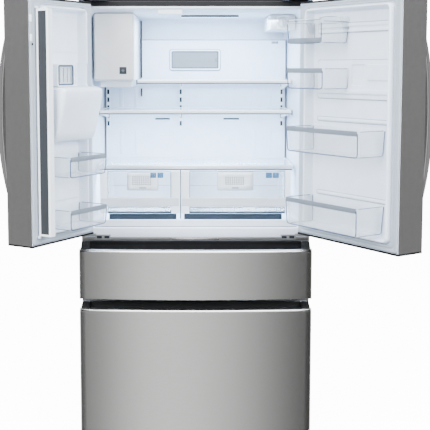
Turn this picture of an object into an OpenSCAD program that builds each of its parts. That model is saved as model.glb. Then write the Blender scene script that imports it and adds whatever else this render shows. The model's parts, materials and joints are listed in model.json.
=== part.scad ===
// French door refrigerator: a cabinet with two unequal doors over two drawers.
// Front faces -Y, +X is to the right, +Z is up.  All sizes are in millimetres.
// Everything is drawn about the cabinet's centre line, with Y = 0 at the plane of the
// drawer fronts, and moved at the end so that the origin is under the middle of the
// whole object's box with both doors standing open.

/* [Cabinet] */
// Width of the cabinet and of the drawer fronts
cabinet_w = 910; // [900:1:915]
// Height of the cabinet's steel top above the floor
cabinet_h = 1765; // [1760:1:1770]
// Distance from the plane of the drawer fronts back to the rear panel
cabinet_back = 727; // [720:1:740]
// Y of the cabinet's front frame, which the seals close on
flange_y = 110; // [110:1:112]
// Height of the hinge covers above the steel top
cover_h = 13; // [12:1:16]

/* [Fresh food compartment] */
// Inner half width at the front
fresh_half_w = 415; // [413:1:418]
// Inner half width at the back
fresh_half_back = 405; // [405:1:410]
// Height of the floor above the ground
fresh_floor = 884; // [882:1:886]
// Height of the ceiling above the ground
fresh_ceiling = 1723; // [1722:1:1726]
// Y of the compartment's rear wall
liner_back = 640; // [638:1:650]
// Height of the upper shelf's top face
upper_shelf_z = 1456; // [1446:1:1460]
// Height of the lower shelf's top face
lower_shelf_z = 1332; // [1320:1:1340]
// Height of the crisper cover's top face
crisper_cover_z = 1108; // [1104:1:1112]

/* [Doors] */
// X of the line where the two doors meet
door_split = -91; // [-95:1:-87]
// Gap between the two doors
door_gap = 6; // [6:1:8]
// Height of the doors' lower edge
door_bottom = 860; // [860:1:864]
// Height of the doors' upper edge
door_top = 1757; // [1750:1:1757]
// Y of the steel door's rear edge when it is closed
door_back = 103; // [102:1:104]
// Distance of each hinge axis from the side of the cabinet
hinge_inset = 8.1; // [8:0.1:9]
// Y of both hinge axes
hinge_y = 53.7; // [52:0.1:54]
// How far the left door stands open, in degrees
left_open = 121.2; // [115:0.1:125]
// How far the right door stands open, in degrees
right_open = 123.1; // [115:0.1:125]
// Length of the bowed handles
handle_l = 650; // [600:10:660]
// Height of the middle of the handles
handle_z = 1330; // [1310:5:1350]
// How far the handles reach forward of the plane of the drawer fronts
handle_reach = 68; // [60:1:70]

/* [Drawers] */
// Height of the lower edge of the middle drawer's front
flex_bottom = 606; // [604:1:608]
// Height of the lip of the middle drawer's front
flex_top = 802; // [800:1:804]
// Height of the lower edge of the freezer drawer's front
freezer_bottom = 72; // [70:1:78]
// Height of the lip of the freezer drawer's front
freezer_top = 567; // [564:1:568]

/* [Hidden] */

half_w = cabinet_w / 2;
sheet = 2;             // steel sheet
wall = 3;              // moulded liner wall
base_z = 28;           // lower edge of the cabinet's steel
machine_y = 480;       // front of the compartment that holds the compressor
machine_top = 310;
front_sagitta = 22;    // how far the fronts bulge over the full width
front_y = -12;         // the fronts' furthest forward line
front_r = half_w * half_w / (2 * front_sagitta) + front_sagitta / 2;

// doors
left_x0 = -half_w;
left_x1 = door_split - door_gap / 2;
right_x0 = door_split + door_gap / 2;
right_x1 = half_w;
axis_x = half_w - hinge_inset;
cap_h = 7;
inner_face = 108;      // Y of the closed door's inner face, with its seal
pin_r = 3.5;
pin_clearance = 0.05;

// drawer openings in the cabinet
drawer_half_w = 415;
flex_floor = 622;
flex_ceiling = 792;
freezer_floor = 116;
freezer_ceiling = 552;
freezer_step_y = 470;
freezer_step_z = 330;
tub_half_w = 395;

ledge_z = 870;         // ledge behind the front edge, below the fresh food floor
sill_top = 899;
sill_back = flange_y + 42;
crisper_front_y = 232;
crisper_split = -62;
shelf_front_y = 250;
shelf_back_y = 585;
duct_y = 600;
ladder_x = [-388, -66, 382];
leg_x = 400;
leg_y = 140;
roller_y = 660;
roller_r = 25;
leg_r = 6;
axle_r = 5;
shaft_r = 4;
fan_x = -130;
fan_y = 600;
fan_z = 150;

// where a point of the closed left or right door stands when the door is open
function left_point(x, y) = [
    -axis_x + (x + axis_x) * cos(left_open) + (y - hinge_y) * sin(left_open),
    hinge_y - (x + axis_x) * sin(left_open) + (y - hinge_y) * cos(left_open)];
function right_point(x, y) = [
    axis_x + (x - axis_x) * cos(right_open) - (y - hinge_y) * sin(right_open),
    hinge_y + (x - axis_x) * sin(right_open) + (y - hinge_y) * cos(right_open)];

// the handles, and the whole object's box with both doors open, which sets the origin
handle_w = 30;
handle_t = 32;          // at its middle
handle_inset = 26;     // from the handle's centre line to the door's free edge
left_handle_x = left_x1 - handle_inset;
right_handle_x = right_x0 + handle_inset;
rear_fittings = 8;
left_reach = left_point(left_handle_x + handle_w / 2, -handle_reach)[0];
right_reach = right_point(right_handle_x - handle_w / 2, -handle_reach)[0];
door_reach = right_point(right_x0, inner_face)[1];
origin_x = (right_reach + left_reach) / 2;
origin_y = (cabinet_back + rear_fittings + door_reach) / 2;

$fn = 48;

// ---------------------------------------------------------------- helpers

// everything is drawn about the cabinet's centre line, then moved to the origin
module placed() { translate([-origin_x, -origin_y, 0]) children(); }

// turns what is drawn on the closed left or right door to where it stands open
module on_left_door()
    placed() translate([-axis_x, hinge_y, 0]) rotate(-left_open)
        translate([axis_x, -hinge_y, 0]) children();
module on_right_door()
    placed() translate([axis_x, hinge_y, 0]) rotate(right_open)
        translate([-axis_x, -hinge_y, 0]) children();

// a block between two corners
module block(low, high) { translate(low) cube(high - low); }

// a rectangle with true round corners
module round_rect(low, high, r)
    union() {
        translate([low[0] + r, low[1]]) square([high[0] - low[0] - 2 * r, high[1] - low[1]]);
        translate([low[0], low[1] + r]) square([high[0] - low[0], high[1] - low[1] - 2 * r]);
        for (x = [low[0] + r, high[0] - r], y = [low[1] + r, high[1] - r])
            translate([x, y]) circle(r = r);
    }

// an upright plate: a round-cornered rectangle in X and Z, from one Y to another
module plate(x, z, y, r)
    translate([0, y[1], 0]) rotate([90, 0, 0]) linear_extrude(y[1] - y[0])
        round_rect([x[0], z[0]], [x[1], z[1]], r);

// an outline in Y and Z, drawn out along X
module profile_x(points, x)
    translate([x[0], 0, 0]) rotate([90, 0, 90]) linear_extrude(x[1] - x[0]) polygon(points);

// a block whose front follows the shared curve of all the steel fronts
module curved_front(x, z, back, inset = 0)
    intersection() {
        block([x[0], front_y - 10, z[0]], [x[1], back, z[1]]);
        translate([0, front_y + front_r, z[0] - 1])
            cylinder(r = front_r - inset, h = z[1] - z[0] + 2, $fn = 720);
    }

// a box with one open side: +Y (a liner) is closed, -Y is open
module liner_box(x, z, back, t)
    difference() {
        block([x[0] - t, flange_y + wall, z[0] - t], [x[1] + t, back + t, z[1] + t]);
        block([x[0], flange_y, z[0]], [x[1], back, z[1]]);
    }

// a bin that is open at the top
module open_bin(low, high, t)
    difference() {
        block(low, high);
        block(low + [t, t, t], [high[0] - t, high[1] - t, high[2] + 1]);
    }

// ---------------------------------------------------------------- cabinet

module cabinet_wrapper()
    color("dimgray") placed() difference() {
        block([-half_w, flange_y + wall, base_z], [half_w, cabinet_back - sheet, cabinet_h]);
        block([-half_w + sheet, flange_y, base_z - 1],
            [half_w - sheet, cabinet_back, cabinet_h - sheet]);
    }

vent_pitch = 12;
inlet_at = [326, 120];
module back_panel()
    color("silver") placed() difference() {
        block([-half_w, cabinet_back - sheet, base_z], [half_w, cabinet_back, cabinet_h]);
        for (z = [70 : vent_pitch : 270], x = [-380, -60, 100])
            block([x, cabinet_back - sheet - 1, z], [x + 130, cabinet_back + 1, z + 5]);
        translate([inlet_at[0], cabinet_back - 10, inlet_at[1]]) rotate([-90, 0, 0])
            cylinder(r = 12.2, h = 20);
    }

rail_w = 28;
module base_frame()
    color("darkgray") placed() difference() {
        union() {
            // the pan, which drops behind to carry the compressor
            block([-half_w + sheet, flange_y + wall, 54], [half_w - sheet, machine_y, 58]);
            block([-half_w + sheet, machine_y, 54], [half_w - sheet, machine_y + 3, 62]);
            block([-leg_x + rail_w, machine_y, 38], [leg_x - rail_w, machine_y + 3, 58]);
            block([-leg_x + rail_w, machine_y + 3, 38], [leg_x - rail_w, cabinet_back - 6, 42]);
            for (side = [-1, 1]) scale([side, 1, 1]) {
                // block that the levelling leg screws into
                block([leg_x - rail_w, leg_y - 27, 40], [leg_x + rail_w, leg_y + rail_w, 54]);
                // fork that the rear roller's axle runs in
                for (x = [leg_x - rail_w, leg_x + rail_w - 6])
                    block([x, machine_y, base_z], [x + 6, cabinet_back - 6, 57]);
                block([leg_x - rail_w, machine_y, 53], [leg_x + rail_w, cabinet_back - 6, 57]);
            }
            // bracket and body of the fan's motor
            difference() {
                block([fan_x + 30, fan_y - 95, 42], [fan_x + 34, fan_y + 95, 250]);
                translate([fan_x + 29, fan_y, fan_z]) rotate([0, 90, 0]) cylinder(r = 78, h = 6);
            }
            block([fan_x + 30, fan_y - 80, fan_z - 5], [fan_x + 34, fan_y + 80, fan_z + 5]);
            translate([fan_x + 30, fan_y, fan_z]) rotate([0, 90, 0]) cylinder(r = 24, h = 44);
        }
        for (side = [-1, 1]) {
            translate([side * leg_x, leg_y, 36]) cylinder(r = leg_r + 0.05, h = 30);
            translate([side * leg_x - rail_w - 1, roller_y, roller_r])
                rotate([0, 90, 0]) cylinder(r = axle_r + 0.05, h = 2 * rail_w + 2);
        }
        translate([fan_x + 29, fan_y, fan_z]) rotate([0, 90, 0])
            cylinder(r = shaft_r + 0.05, h = 24);
    }

module cabinet_insulation()
    color("khaki") placed() difference() {
        block([-half_w + sheet, flange_y + wall, 58],
            [half_w - sheet, cabinet_back - sheet, cabinet_h - sheet]);
        fresh_outer(wall);
        block([-fresh_half_w - wall, 0, ledge_z - 8], [fresh_half_w + wall, sill_back, fresh_floor]);
        block([-drawer_half_w - wall, 0, flex_floor - wall],
            [drawer_half_w + wall, liner_back + wall, flex_ceiling + wall]);
        block([-drawer_half_w - wall, 0, freezer_floor - wall],
            [drawer_half_w + wall, freezer_step_y + wall, freezer_ceiling + wall]);
        block([-drawer_half_w - wall, 0, freezer_step_z - wall],
            [drawer_half_w + wall, liner_back + wall, freezer_ceiling + wall]);
        block([-half_w, machine_y, 50], [half_w, cabinet_back, machine_top]);
    }

// the fresh food compartment's space, grown by t: its sides close in towards the back,
// and its ceiling slopes down behind the front edge
ceiling_slope = 14;
slope_y = 160;
function ceiling_at(y) = fresh_ceiling + ceiling_slope * (slope_y - y) / (slope_y - flange_y);
module fresh_outer(t)
    difference() {
        translate([0, 0, fresh_floor - t]) linear_extrude(fresh_ceiling + ceiling_slope
            - fresh_floor + 2 * t)
            polygon([[-fresh_half_w - t, flange_y - 1], [fresh_half_w + t, flange_y - 1],
                [fresh_half_back + t, liner_back + t], [-fresh_half_back - t, liner_back + t]]);
        profile_x([[flange_y - 2, fresh_ceiling + ceiling_slope + t],
            [flange_y, fresh_ceiling + ceiling_slope + t], [slope_y, fresh_ceiling + t],
            [liner_back + 20, fresh_ceiling + t], [liner_back + 20, cabinet_h + 50],
            [flange_y - 2, cabinet_h + 50]], [-half_w, half_w]);
    }

module fresh_food_liner()
    color("aliceblue") placed() {
        difference() {
            union() {
                intersection() {
                    fresh_outer(wall);
                    block([-half_w, flange_y + wall, 0], [half_w, cabinet_back, cabinet_h]);
                }
                block([-half_w + 6, flange_y, 833], [half_w - 6, flange_y + wall, 1746]);
            }
            fresh_outer(0);
            block([-fresh_half_w, flange_y - 1, ledge_z],
                [fresh_half_w, sill_back, fresh_floor + 1]);
        }
        // the ledge behind the front edge, then the raised sill
        profile_x([[flange_y + wall, ledge_z], [flange_y + 20, ledge_z], [flange_y + 20, sill_top],
            [flange_y + 38, sill_top], [sill_back, fresh_floor], [sill_back, ledge_z - 8],
            [flange_y + wall, ledge_z - 8]], [-fresh_half_w + 1, fresh_half_w - 1]);
    }

module flex_liner()
    color("white") placed()
        liner_box([-drawer_half_w, drawer_half_w], [flex_floor, flex_ceiling], liner_back, wall);

module freezer_liner()
    color("white") placed() difference() {
        union() {
            block([-drawer_half_w - wall, flange_y + wall, freezer_floor - wall],
                [drawer_half_w + wall, freezer_step_y + wall, freezer_ceiling + wall]);
            block([-drawer_half_w - wall, flange_y + wall, freezer_step_z - wall],
                [drawer_half_w + wall, liner_back + wall, freezer_ceiling + wall]);
        }
        block([-drawer_half_w, flange_y, freezer_floor],
            [drawer_half_w, freezer_step_y, freezer_ceiling]);
        block([-drawer_half_w, flange_y, freezer_step_z],
            [drawer_half_w, liner_back, freezer_ceiling]);
    }

module front_frame()
    color("gray") placed() difference() {
        block([-half_w, flange_y, base_z + 30], [half_w, flange_y + wall, cabinet_h]);
        block([-half_w + 6, 0, 833], [half_w - 6, 200, 1746]);
        block([-drawer_half_w, 0, flex_floor], [drawer_half_w, 200, flex_ceiling]);
        block([-drawer_half_w, 0, freezer_floor], [drawer_half_w, 200, freezer_ceiling]);
    }

// top hinge leaves and the hinges between the doors and the middle drawer
leaf_w = 60;
module hinge_brackets()
    color("silver") placed() for (side = [-1, 1]) scale([side, 1, 1]) {
        block([axis_x - 40, 130, cabinet_h], [axis_x, 210, cabinet_h + 4]);
        block([axis_x - 12, hinge_y, cabinet_h], [axis_x, 130, cabinet_h + 4]);
        translate([axis_x - 6, hinge_y, cabinet_h]) cylinder(r = 10, h = 4);
        translate([axis_x, hinge_y, door_top - 22]) cylinder(r = pin_r, h = 30);
        // leaf on the frame, and the arm that carries the lower pin
        block([axis_x - 107, flange_y - 5, 824], [axis_x - 107 + leaf_w, flange_y, 844]);
        block([axis_x - 50, flange_y - 5, 838], [axis_x + 6, flange_y, 848]);
        block([axis_x - 14, hinge_y - 8, 846], [axis_x + 6, flange_y, 851]);
        translate([axis_x, hinge_y, 846]) cylinder(r = pin_r, h = 40);
    }

hinge_cover_w = 110;
module top_trim()
    color("dimgray") placed() difference() {
        union() {
            block([-half_w + 4, flange_y + wall, cabinet_h], [half_w - 4, 230, cabinet_h + cover_h]);
            for (side = [-1, 1]) scale([side, 1, 1])
                block([half_w - 4 - hinge_cover_w, hinge_y - 22, cabinet_h],
                    [half_w - 2, 230, cabinet_h + cover_h]);
        }
        for (side = [-1, 1]) scale([side, 1, 1]) {
            block([axis_x - 42, hinge_y - 12, cabinet_h - 1], [axis_x + 5, 212, cabinet_h + 9]);
        }
        block([-half_w + hinge_cover_w + 10, flange_y + 10, cabinet_h - 1],
            [half_w - hinge_cover_w - 10, 224, cabinet_h + cover_h - 3]);
    }

vent_x = [[-179, -116], [125, 193]];
vent_z = 1277;
vent_h = 6;
module duct_panel()
    color("aliceblue") placed() difference() {
        plate([-402, 402], [fresh_floor + 2, 1633], [duct_y, liner_back - 1], 3);
        block([-398, duct_y + 3, fresh_floor + 6], [398, liner_back, 1629]);
        for (v = vent_x)
            block([v[0], duct_y - 1, vent_z], [v[1], duct_y + 4, vent_z + vent_h]);
        // small slots in front of the temperature sensor
        for (i = [0 : 4]) block([338 + i * 6, duct_y - 1, 1614], [341 + i * 6, duct_y + 4, 1622]);
    }

module air_filter_cover()
    color("lightsteelblue") placed() difference() {
        plate([-114, 109], [1496, 1587], [duct_y - 8, duct_y], 9);
        plate([-107, 98], [1508, 1579], [duct_y - 9, duct_y - 5], 3);
    }

ice_x = [-404, -245];
ice_z = [1455, 1721];
slot_pitch = 35;
slot_h = 21;
// the left ladder ends below the ice maker
function ladder_top(x) = x < ice_x[1] ? ice_z[0] - 5 : 1470;
module shelf_ladders()
    color("white") placed() for (x = ladder_x) difference() {
        plate([x - 8, x + 8], [1236, ladder_top(x)], [duct_y - 8, duct_y], 3);
        for (z = [1250 : slot_pitch : ladder_top(x) - slot_h - 3])
            block([x - 3.5, duct_y - 9, z], [x + 3.5, duct_y - 2, z + slot_h]);
    }

// one entry for each shelf: its two ends in X, its top and its front edge
upper_shelf = [-243, 396, upper_shelf_z, shelf_front_y];
lower_shelf = [-398, 398, lower_shelf_z, shelf_front_y];
crisper_cover = [-402, 402, crisper_cover_z, crisper_front_y + 10];
glass_t = 4;
frame_h = 14;
frame_w = 10;
arm_gap = 0.1;

module shelf_glasses()
    color("lightcyan", 0.4) placed() for (s = [upper_shelf, lower_shelf, crisper_cover])
        block([s[0] + frame_w, s[3] + frame_w, s[2] - glass_t - 1],
            [s[1] - frame_w, shelf_back_y - frame_w, s[2] - 1]);

module shelf_trims()
    color("white") placed() {
        for (s = [upper_shelf, lower_shelf, crisper_cover]) difference() {
            block([s[0], s[3], s[2] - frame_h], [s[1], shelf_back_y, s[2]]);
            block([s[0] + frame_w, s[3] + frame_w, s[2] - frame_h - 1],
                [s[1] - frame_w, shelf_back_y - frame_w, s[2] + 1]);
        }
        // arms that hook into the ladders, each a piece of its own below the frame
        for (s = [upper_shelf, lower_shelf], x = ladder_x) if (x > s[0] && x < s[1])
            profile_x([[300, s[2] - frame_h - arm_gap], [duct_y - 8.5, s[2] - frame_h - arm_gap],
                [duct_y - 8.5, s[2] - 44], [shelf_back_y - 20, s[2] - 44],
                [300, s[2] - frame_h - 6]], [x - 2.5, x + 2.5]);
        // wall between the two crispers
        block([crisper_split - 2, crisper_front_y + 16, fresh_floor],
            [crisper_split + 2, shelf_back_y, crisper_cover_z - frame_h]);
    }

ice_y = [154, 598];
module ice_maker_box()
    color("gainsboro") placed() difference() {
        block([ice_x[0], ice_y[0], ice_z[0]], [ice_x[1], ice_y[1], ice_z[1]]);
        block([ice_x[0] + wall, ice_y[0] + 4, ice_z[0] - 1],
            [ice_x[1] - wall, ice_y[1] - wall, ice_z[1] - wall]);
    }

// the bucket, with its lower tray set back to let the door's dispenser close under it
module ice_bucket()
    color("white") placed() {
        open_bin([ice_x[0] + 6, ice_y[0] + 8, ice_z[0] + 3], [ice_x[1] - 6, 580, 1640], 3);
        block([ice_x[0] + 20, 213, 1429], [ice_x[1] - 12, 560, ice_z[0] + 3]);
    }

module water_filter_housing()
    color("white") placed() {
        difference() {
            block([304, 251, 1663], [404, 598, 1721]);
            translate([354, 240, 1691]) rotate([-90, 0, 0]) cylinder(r = 24, h = 296);
        }
        // the cartridge, pushed in from the front
        translate([354, 256, 1691]) rotate([-90, 0, 0]) cylinder(r = 23, h = 280);
    }

module lamp_lens()
    color("white") placed() plate([-59, 178], [fresh_ceiling - 7, fresh_ceiling], [327, 400], 2);

guide_z = 1717;
module mullion_guide()
    color("white") placed() difference() {
        profile_x([[118, guide_z], [154, guide_z], [154, ceiling_at(154)], [118, ceiling_at(118)]],
            [-147, -53]);
        block([-140, 124, guide_z - 1], [-60, 142, guide_z + 4]);
    }

// fixed halves of the telescopic slides, two for each drawer
module drawer_slides()
    color("silver") placed() for (side = [-1, 1]) scale([side, 1, 1]) {
        block([drawer_half_w - 7, 130, 700], [drawer_half_w, 620, 730]);
        block([drawer_half_w - 7, 130, 440], [drawer_half_w, 620, 470]);
    }

grille_pitch = 60;
module toe_grille()
    color("dimgray") placed() {
        difference() {
            plate([-450, 450], [12, 66], [78, 84], 4);
            for (x = [-412 : grille_pitch : 400], z = [20, 32, 44])
                block([x, 77, z], [x + 44, 85, z + 6]);
        }
        // tabs that clip it to the front frame
        for (x = [-300, 0, 300]) block([x - 20, 84, 52], [x + 20, flange_y, 64]);
    }

module levelling_legs()
    color("black") placed() for (side = [-1, 1]) translate([side * leg_x, leg_y, 0]) {
        cylinder(r = 20, h = 9);
        cylinder(r = leg_r, h = 54);
    }

module rear_rollers()
    color("black") placed() for (side = [-1, 1])
        translate([side * leg_x, roller_y, roller_r]) rotate([0, 90, 0]) {
            translate([0, 0, -14]) cylinder(r = roller_r, h = 28);
            translate([0, 0, -rail_w - 4]) cylinder(r = axle_r, h = 2 * rail_w + 8);
        }

compressor_at = [180, 600, 42];
module cooling_system()
    color("black") placed() {
        translate(compressor_at) {
            for (x = [-70, 70], y = [-50, 50]) translate([x, y, 0]) cylinder(r = 12, h = 14);
            translate([0, 0, 14]) cylinder(r = 85, h = 110);
            translate([0, 0, 124]) cylinder(r1 = 85, r2 = 40, h = 46, $fn = 48);
        }
        // condenser: tubes through a stack of fins
        for (i = [0 : 11]) block([-340 + i * 14, 520, 56], [-338 + i * 14, 690, 236]);
        block([-342, 690, 42], [-182, 694, 236]);
        for (y = [545, 605, 665], z = [86, 146, 206])
            translate([-346, y, z]) rotate([0, 90, 0]) cylinder(r = 5, h = 168);
    }

module condenser_fan()
    color("dimgray") placed() translate([fan_x, fan_y, fan_z]) rotate([0, 90, 0]) {
        cylinder(r = 20, h = 24);
        translate([0, 0, 24]) cylinder(r = shaft_r, h = 22);
        for (a = [0 : 72 : 288]) rotate(a)
            translate([44, 0, 12]) rotate([30, 0, 0]) cube([56, 26, 3], center = true);
    }

module drain_pan()
    color("black") placed() open_bin([-350, 510, 42], [-150, 686, 52], 2);

inlet_bore_r = 7.5;
module inlet_valve()
    color("white") placed() {
        difference() {
            block([inlet_at[0] - 26, cabinet_back, inlet_at[1] - 30],
                [inlet_at[0] + 26, cabinet_back + 5, inlet_at[1] + 30]);
            translate([inlet_at[0], cabinet_back - 1, inlet_at[1]]) rotate([-90, 0, 0])
                cylinder(r = 10, h = 8);
        }
        translate([inlet_at[0], cabinet_back - 60, inlet_at[1]]) rotate([-90, 0, 0]) difference() {
            cylinder(r = 12, h = 60 + rear_fittings);
            translate([0, 0, 40]) cylinder(r = inlet_bore_r, h = 40);
        }
    }

module power_inlet()
    color("black") placed() difference() {
        plate([250, 286], [200, 228], [cabinet_back, cabinet_back + rear_fittings], 3);
        block([256, cabinet_back + 2, 204], [280, cabinet_back + rear_fittings + 1, 224]);
    }

// ---------------------------------------------------------------- doors

// the U-shaped steel skin of a door, open above, below and behind
module door_skin(x)
    difference() {
        curved_front(x, [door_bottom + cap_h, door_top - cap_h], door_back);
        curved_front(x + [sheet, -sheet], [door_bottom, door_top], door_back + 1, sheet);
    }

// black end caps, bored for the hinge pins; stop_x places the small door stop
module door_caps(x, side, stop_x)
    difference() {
        union() {
            curved_front(x, [door_bottom, door_bottom + cap_h], door_back + 2);
            curved_front(x, [door_top - cap_h, door_top], door_back + 2);
            block([stop_x, 70, door_bottom - 5], [stop_x + 34, 88, door_bottom]);
            // plastic bearings around the pins
            translate([side * axis_x, hinge_y, door_bottom + cap_h])
                cylinder(r = pin_r + 2.4, h = 20);
            translate([side * axis_x, hinge_y, door_top - cap_h - 16])
                cylinder(r = pin_r + 2.4, h = 16);
        }
        translate([side * axis_x, hinge_y, door_bottom - 1])
            cylinder(r = pin_r + pin_clearance, h = 29);
        translate([side * axis_x, hinge_y, door_top - 23])
            cylinder(r = pin_r + pin_clearance, h = 24);
    }

dike_h = 18;
dike_w = 14;
dike_z = [898, 1729];
recess = 20;           // how far the liner's floor lies behind the inner face

// moulded inner panel: a border, a raised dike and a sunken floor
module door_panel(x, dike_x)
    difference() {
        union() {
            plate(x + [sheet, -sheet], [door_bottom + cap_h, door_top - cap_h],
                [door_back - 5, door_back - 1], 3);
            plate(dike_x, dike_z, [door_back - 5, inner_face + dike_h], 16);
            plate(dike_x, dike_z, [inner_face - recess - wall, door_back], 16);
        }
        plate(dike_x + [dike_w, -dike_w], dike_z + [dike_w, -dike_w],
            [inner_face - recess, inner_face + dike_h + 1], 12);
    }

module door_seal(x, dike_x)
    difference() {
        plate([x[0] + 5, x[1] - 5], [door_bottom + 9, door_top - 9],
            [door_back - 1, inner_face + 1], 6);
        plate(dike_x + [-3, 3], dike_z + [-3, 3], [door_back - 2, inner_face + 2], 16);
    }

// a bowed bar, thick in the middle, whose ends run into the door's front
handle_chamfer = 5;
bow = handle_reach + front_y + 1;
bow_r = (handle_l * handle_l / 4 + bow * bow) / (2 * bow);
bow_angle = 2 * asin(handle_l / 2 / bow_r);
grip_l = handle_l - 100;    // the finger space behind it, at the door's front
grip_depth = handle_reach - handle_t;
grip_sag = grip_depth + front_y;
grip_r = (grip_l * grip_l / 4 + grip_sag * grip_sag) / (2 * grip_sag);
module bowed_handle(x)
    difference() {
        translate([x, bow_r - handle_reach, handle_z]) rotate([0, 90, 0])
            rotate(270 - bow_angle / 2) rotate_extrude(angle = bow_angle, $fn = 360)
                polygon([[bow_r - handle_t - 4, -handle_w / 2],
                    [bow_r - handle_chamfer, -handle_w / 2],
                    [bow_r, handle_chamfer - handle_w / 2],
                    [bow_r, handle_w / 2 - handle_chamfer],
                    [bow_r - handle_chamfer, handle_w / 2],
                    [bow_r - handle_t - 4, handle_w / 2]]);
        translate([x - handle_w, grip_r - grip_depth, handle_z]) rotate([0, 90, 0])
            cylinder(r = grip_r, h = 2 * handle_w, $fn = 360);
        block([x - handle_w, front_y + (abs(x) - handle_w / 2) * (abs(x) - handle_w / 2)
            / (2 * front_r), handle_z - handle_l], [x + handle_w, 80, handle_z + handle_l]);
    }

// ---- left door

dispenser_x = [-388, -172];
dispenser_z = [1122, 1400];
panel_z = [1400, 1498];
module left_door_shell()
    color("gray") on_left_door() difference() {
        door_skin([left_x0, left_x1]);
        plate(dispenser_x, [dispenser_z[0], panel_z[1]], [-30, 60], 8);
    }

left_dike = [left_x0 + 50, left_x0 + 300];
mullion_face = left_x0 + 331;
// ears that the mullion's pins turn in, above and below it
ear_h = 8;
ear_gap = 1;
module mullion_ears(grow)
    for (z = [mullion_z[0] - ear_gap - ear_h, mullion_z[1] + ear_gap])
        block([mullion_pin[0] - 6 - grow, door_back - 3, z - grow],
            [mullion_pin[0] + 7 + grow, mullion_pin[1] + 5 + grow, z + ear_h + grow]);
hump_x = left_dike + [dike_w, -dike_w] + [0.5, -0.5];
// side view of the dispenser's hump: deep at the top, thinner below
function hump(t) = [[inner_face - recess - 1, 1437 - t], [196 - t, 1437 - t],
    [207 - t, 1426 - t], for (a = [0 : 15 : 60]) [166 + 41 * cos(a) - t, 1412 - 50 * sin(a)],
    [172 - t, 1256 + t], [150 - t, 1238 + t], [inner_face - recess - 1, 1238 + t]];
module left_door_liner()
    color("aliceblue") on_left_door() {
        door_panel([left_x0, left_x1], left_dike);
        difference() {
            profile_x(hump(0), hump_x);
            profile_x(hump(4), hump_x + [4, -4]);
        }
        difference() {
            mullion_ears(0);
            translate([mullion_pin[0], mullion_pin[1], mullion_z[0] - 20])
                cylinder(r = mullion_pin_r + pin_clearance, h = mullion_z[1] - mullion_z[0] + 40);
        }
    }

module left_door_gasket()
    color("lightgray") on_left_door() difference() {
        door_seal([left_x0, left_x1], left_dike);
        mullion_ears(0.5);
    }

module left_door_caps()
    color("black") on_left_door() door_caps([left_x0, left_x1], -1, left_x1 - 60);

module left_door_handle()
    color("silver") on_left_door() bowed_handle(left_handle_x);

paddle_x = [-305, -255];
paddle_pin = [57, 1334];
module dispenser_housing()
    color("dimgray") on_left_door() difference() {
        union() {
            difference() {
                intersection() {
                    curved_front(dispenser_x, dispenser_z, 84);
                    plate(dispenser_x, [dispenser_z[0], panel_z[1]], [-30, 90], 8);
                }
                plate(dispenser_x + [7, -7], dispenser_z + [7, -7], [-30, 81], 6);
            }
            // ears for the paddle's pin
            for (x = [paddle_x[0] - 8, paddle_x[1] + 2])
                block([x, paddle_pin[0] - 8, paddle_pin[1] - 8], [x + 6, 82, paddle_pin[1] + 8]);
        }
        translate([paddle_x[0] - 20, paddle_pin[0], paddle_pin[1]]) rotate([0, 90, 0])
            cylinder(r = 3.05, h = 90);
    }

module dispenser_panel()
    color("black") on_left_door() intersection() {
        curved_front(dispenser_x, panel_z, 30);
        plate(dispenser_x, [dispenser_z[0], panel_z[1]], [-30, 60], 8);
    }

module dispenser_tray()
    color("silver") on_left_door() difference() {
        block([dispenser_x[0] + 14, 8, dispenser_z[0] + 7.5],
            [dispenser_x[1] - 14, 78, dispenser_z[0] + 16]);
        for (x = [dispenser_x[0] + 24 : 14 : dispenser_x[1] - 26])
            block([x, 16, dispenser_z[0] + 11], [x + 6, 70, dispenser_z[0] + 17]);
    }

module dispenser_paddle()
    color("black") on_left_door() {
        block([paddle_x[0], 55, 1232], [paddle_x[1], 59, paddle_pin[1]]);
        translate([paddle_x[0] - 7, paddle_pin[0], paddle_pin[1]]) rotate([0, 90, 0])
            cylinder(r = 3, h = paddle_x[1] - paddle_x[0] + 14);
    }

module ice_chute()
    color("white") on_left_door() difference() {
        plate([-298, -200], [1438, 1522], [inner_face - recess, 143], 8);
        plate([-290, -208], [1446, 1514], [inner_face - recess + 3, 144], 5);
    }

// door bins: [from, to] across the door, then [bottom, top]
bin_t = 2.5;
bin_y = [inner_face - recess + 0.5, 222];
left_bin_x = left_dike + [dike_w, -dike_w] + [2, -2];
left_bins = [[1112, 1187], [921, 995]];
module left_door_bins()
    color("lightcyan", 0.4) on_left_door() for (z = left_bins)
        open_bin([left_bin_x[0], bin_y[0], z[0]], [left_bin_x[1], bin_y[1], z[1]], bin_t);

// the bar that seals the gap between the doors, folded back against the left door
mullion_w = 57;
mullion_t = 27;
mullion_z = [902, 1715];
mullion_low_y = inner_face + 1.5;
mullion_edge_r = 3;    // its round edge, about the pins that it folds on
mullion_pin = [mullion_face - mullion_edge_r, mullion_low_y + mullion_edge_r];
mullion_pin_r = 2;
module mullion_bar()
    color("white") on_left_door() {
        difference() {
            block([mullion_face - mullion_t, mullion_low_y, mullion_z[0]],
                [mullion_face, mullion_low_y + mullion_w, mullion_z[1]]);
            block([mullion_face - 2, inner_face + 13, mullion_z[0] + 8],
                [mullion_face + 1, inner_face + 49, mullion_z[1] - 8]);
            block([mullion_pin[0], mullion_low_y - 1, mullion_z[0] - 1],
                [mullion_face + 1, mullion_pin[1], mullion_z[1] + 1]);
        }
        translate([mullion_pin[0], mullion_pin[1], mullion_z[0]])
            cylinder(r = mullion_edge_r, h = mullion_z[1] - mullion_z[0]);
        translate([mullion_pin[0], mullion_pin[1], mullion_z[0] - ear_gap - ear_h])
            cylinder(r = mullion_pin_r, h = mullion_z[1] - mullion_z[0] + 2 * (ear_gap + ear_h));
    }
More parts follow.
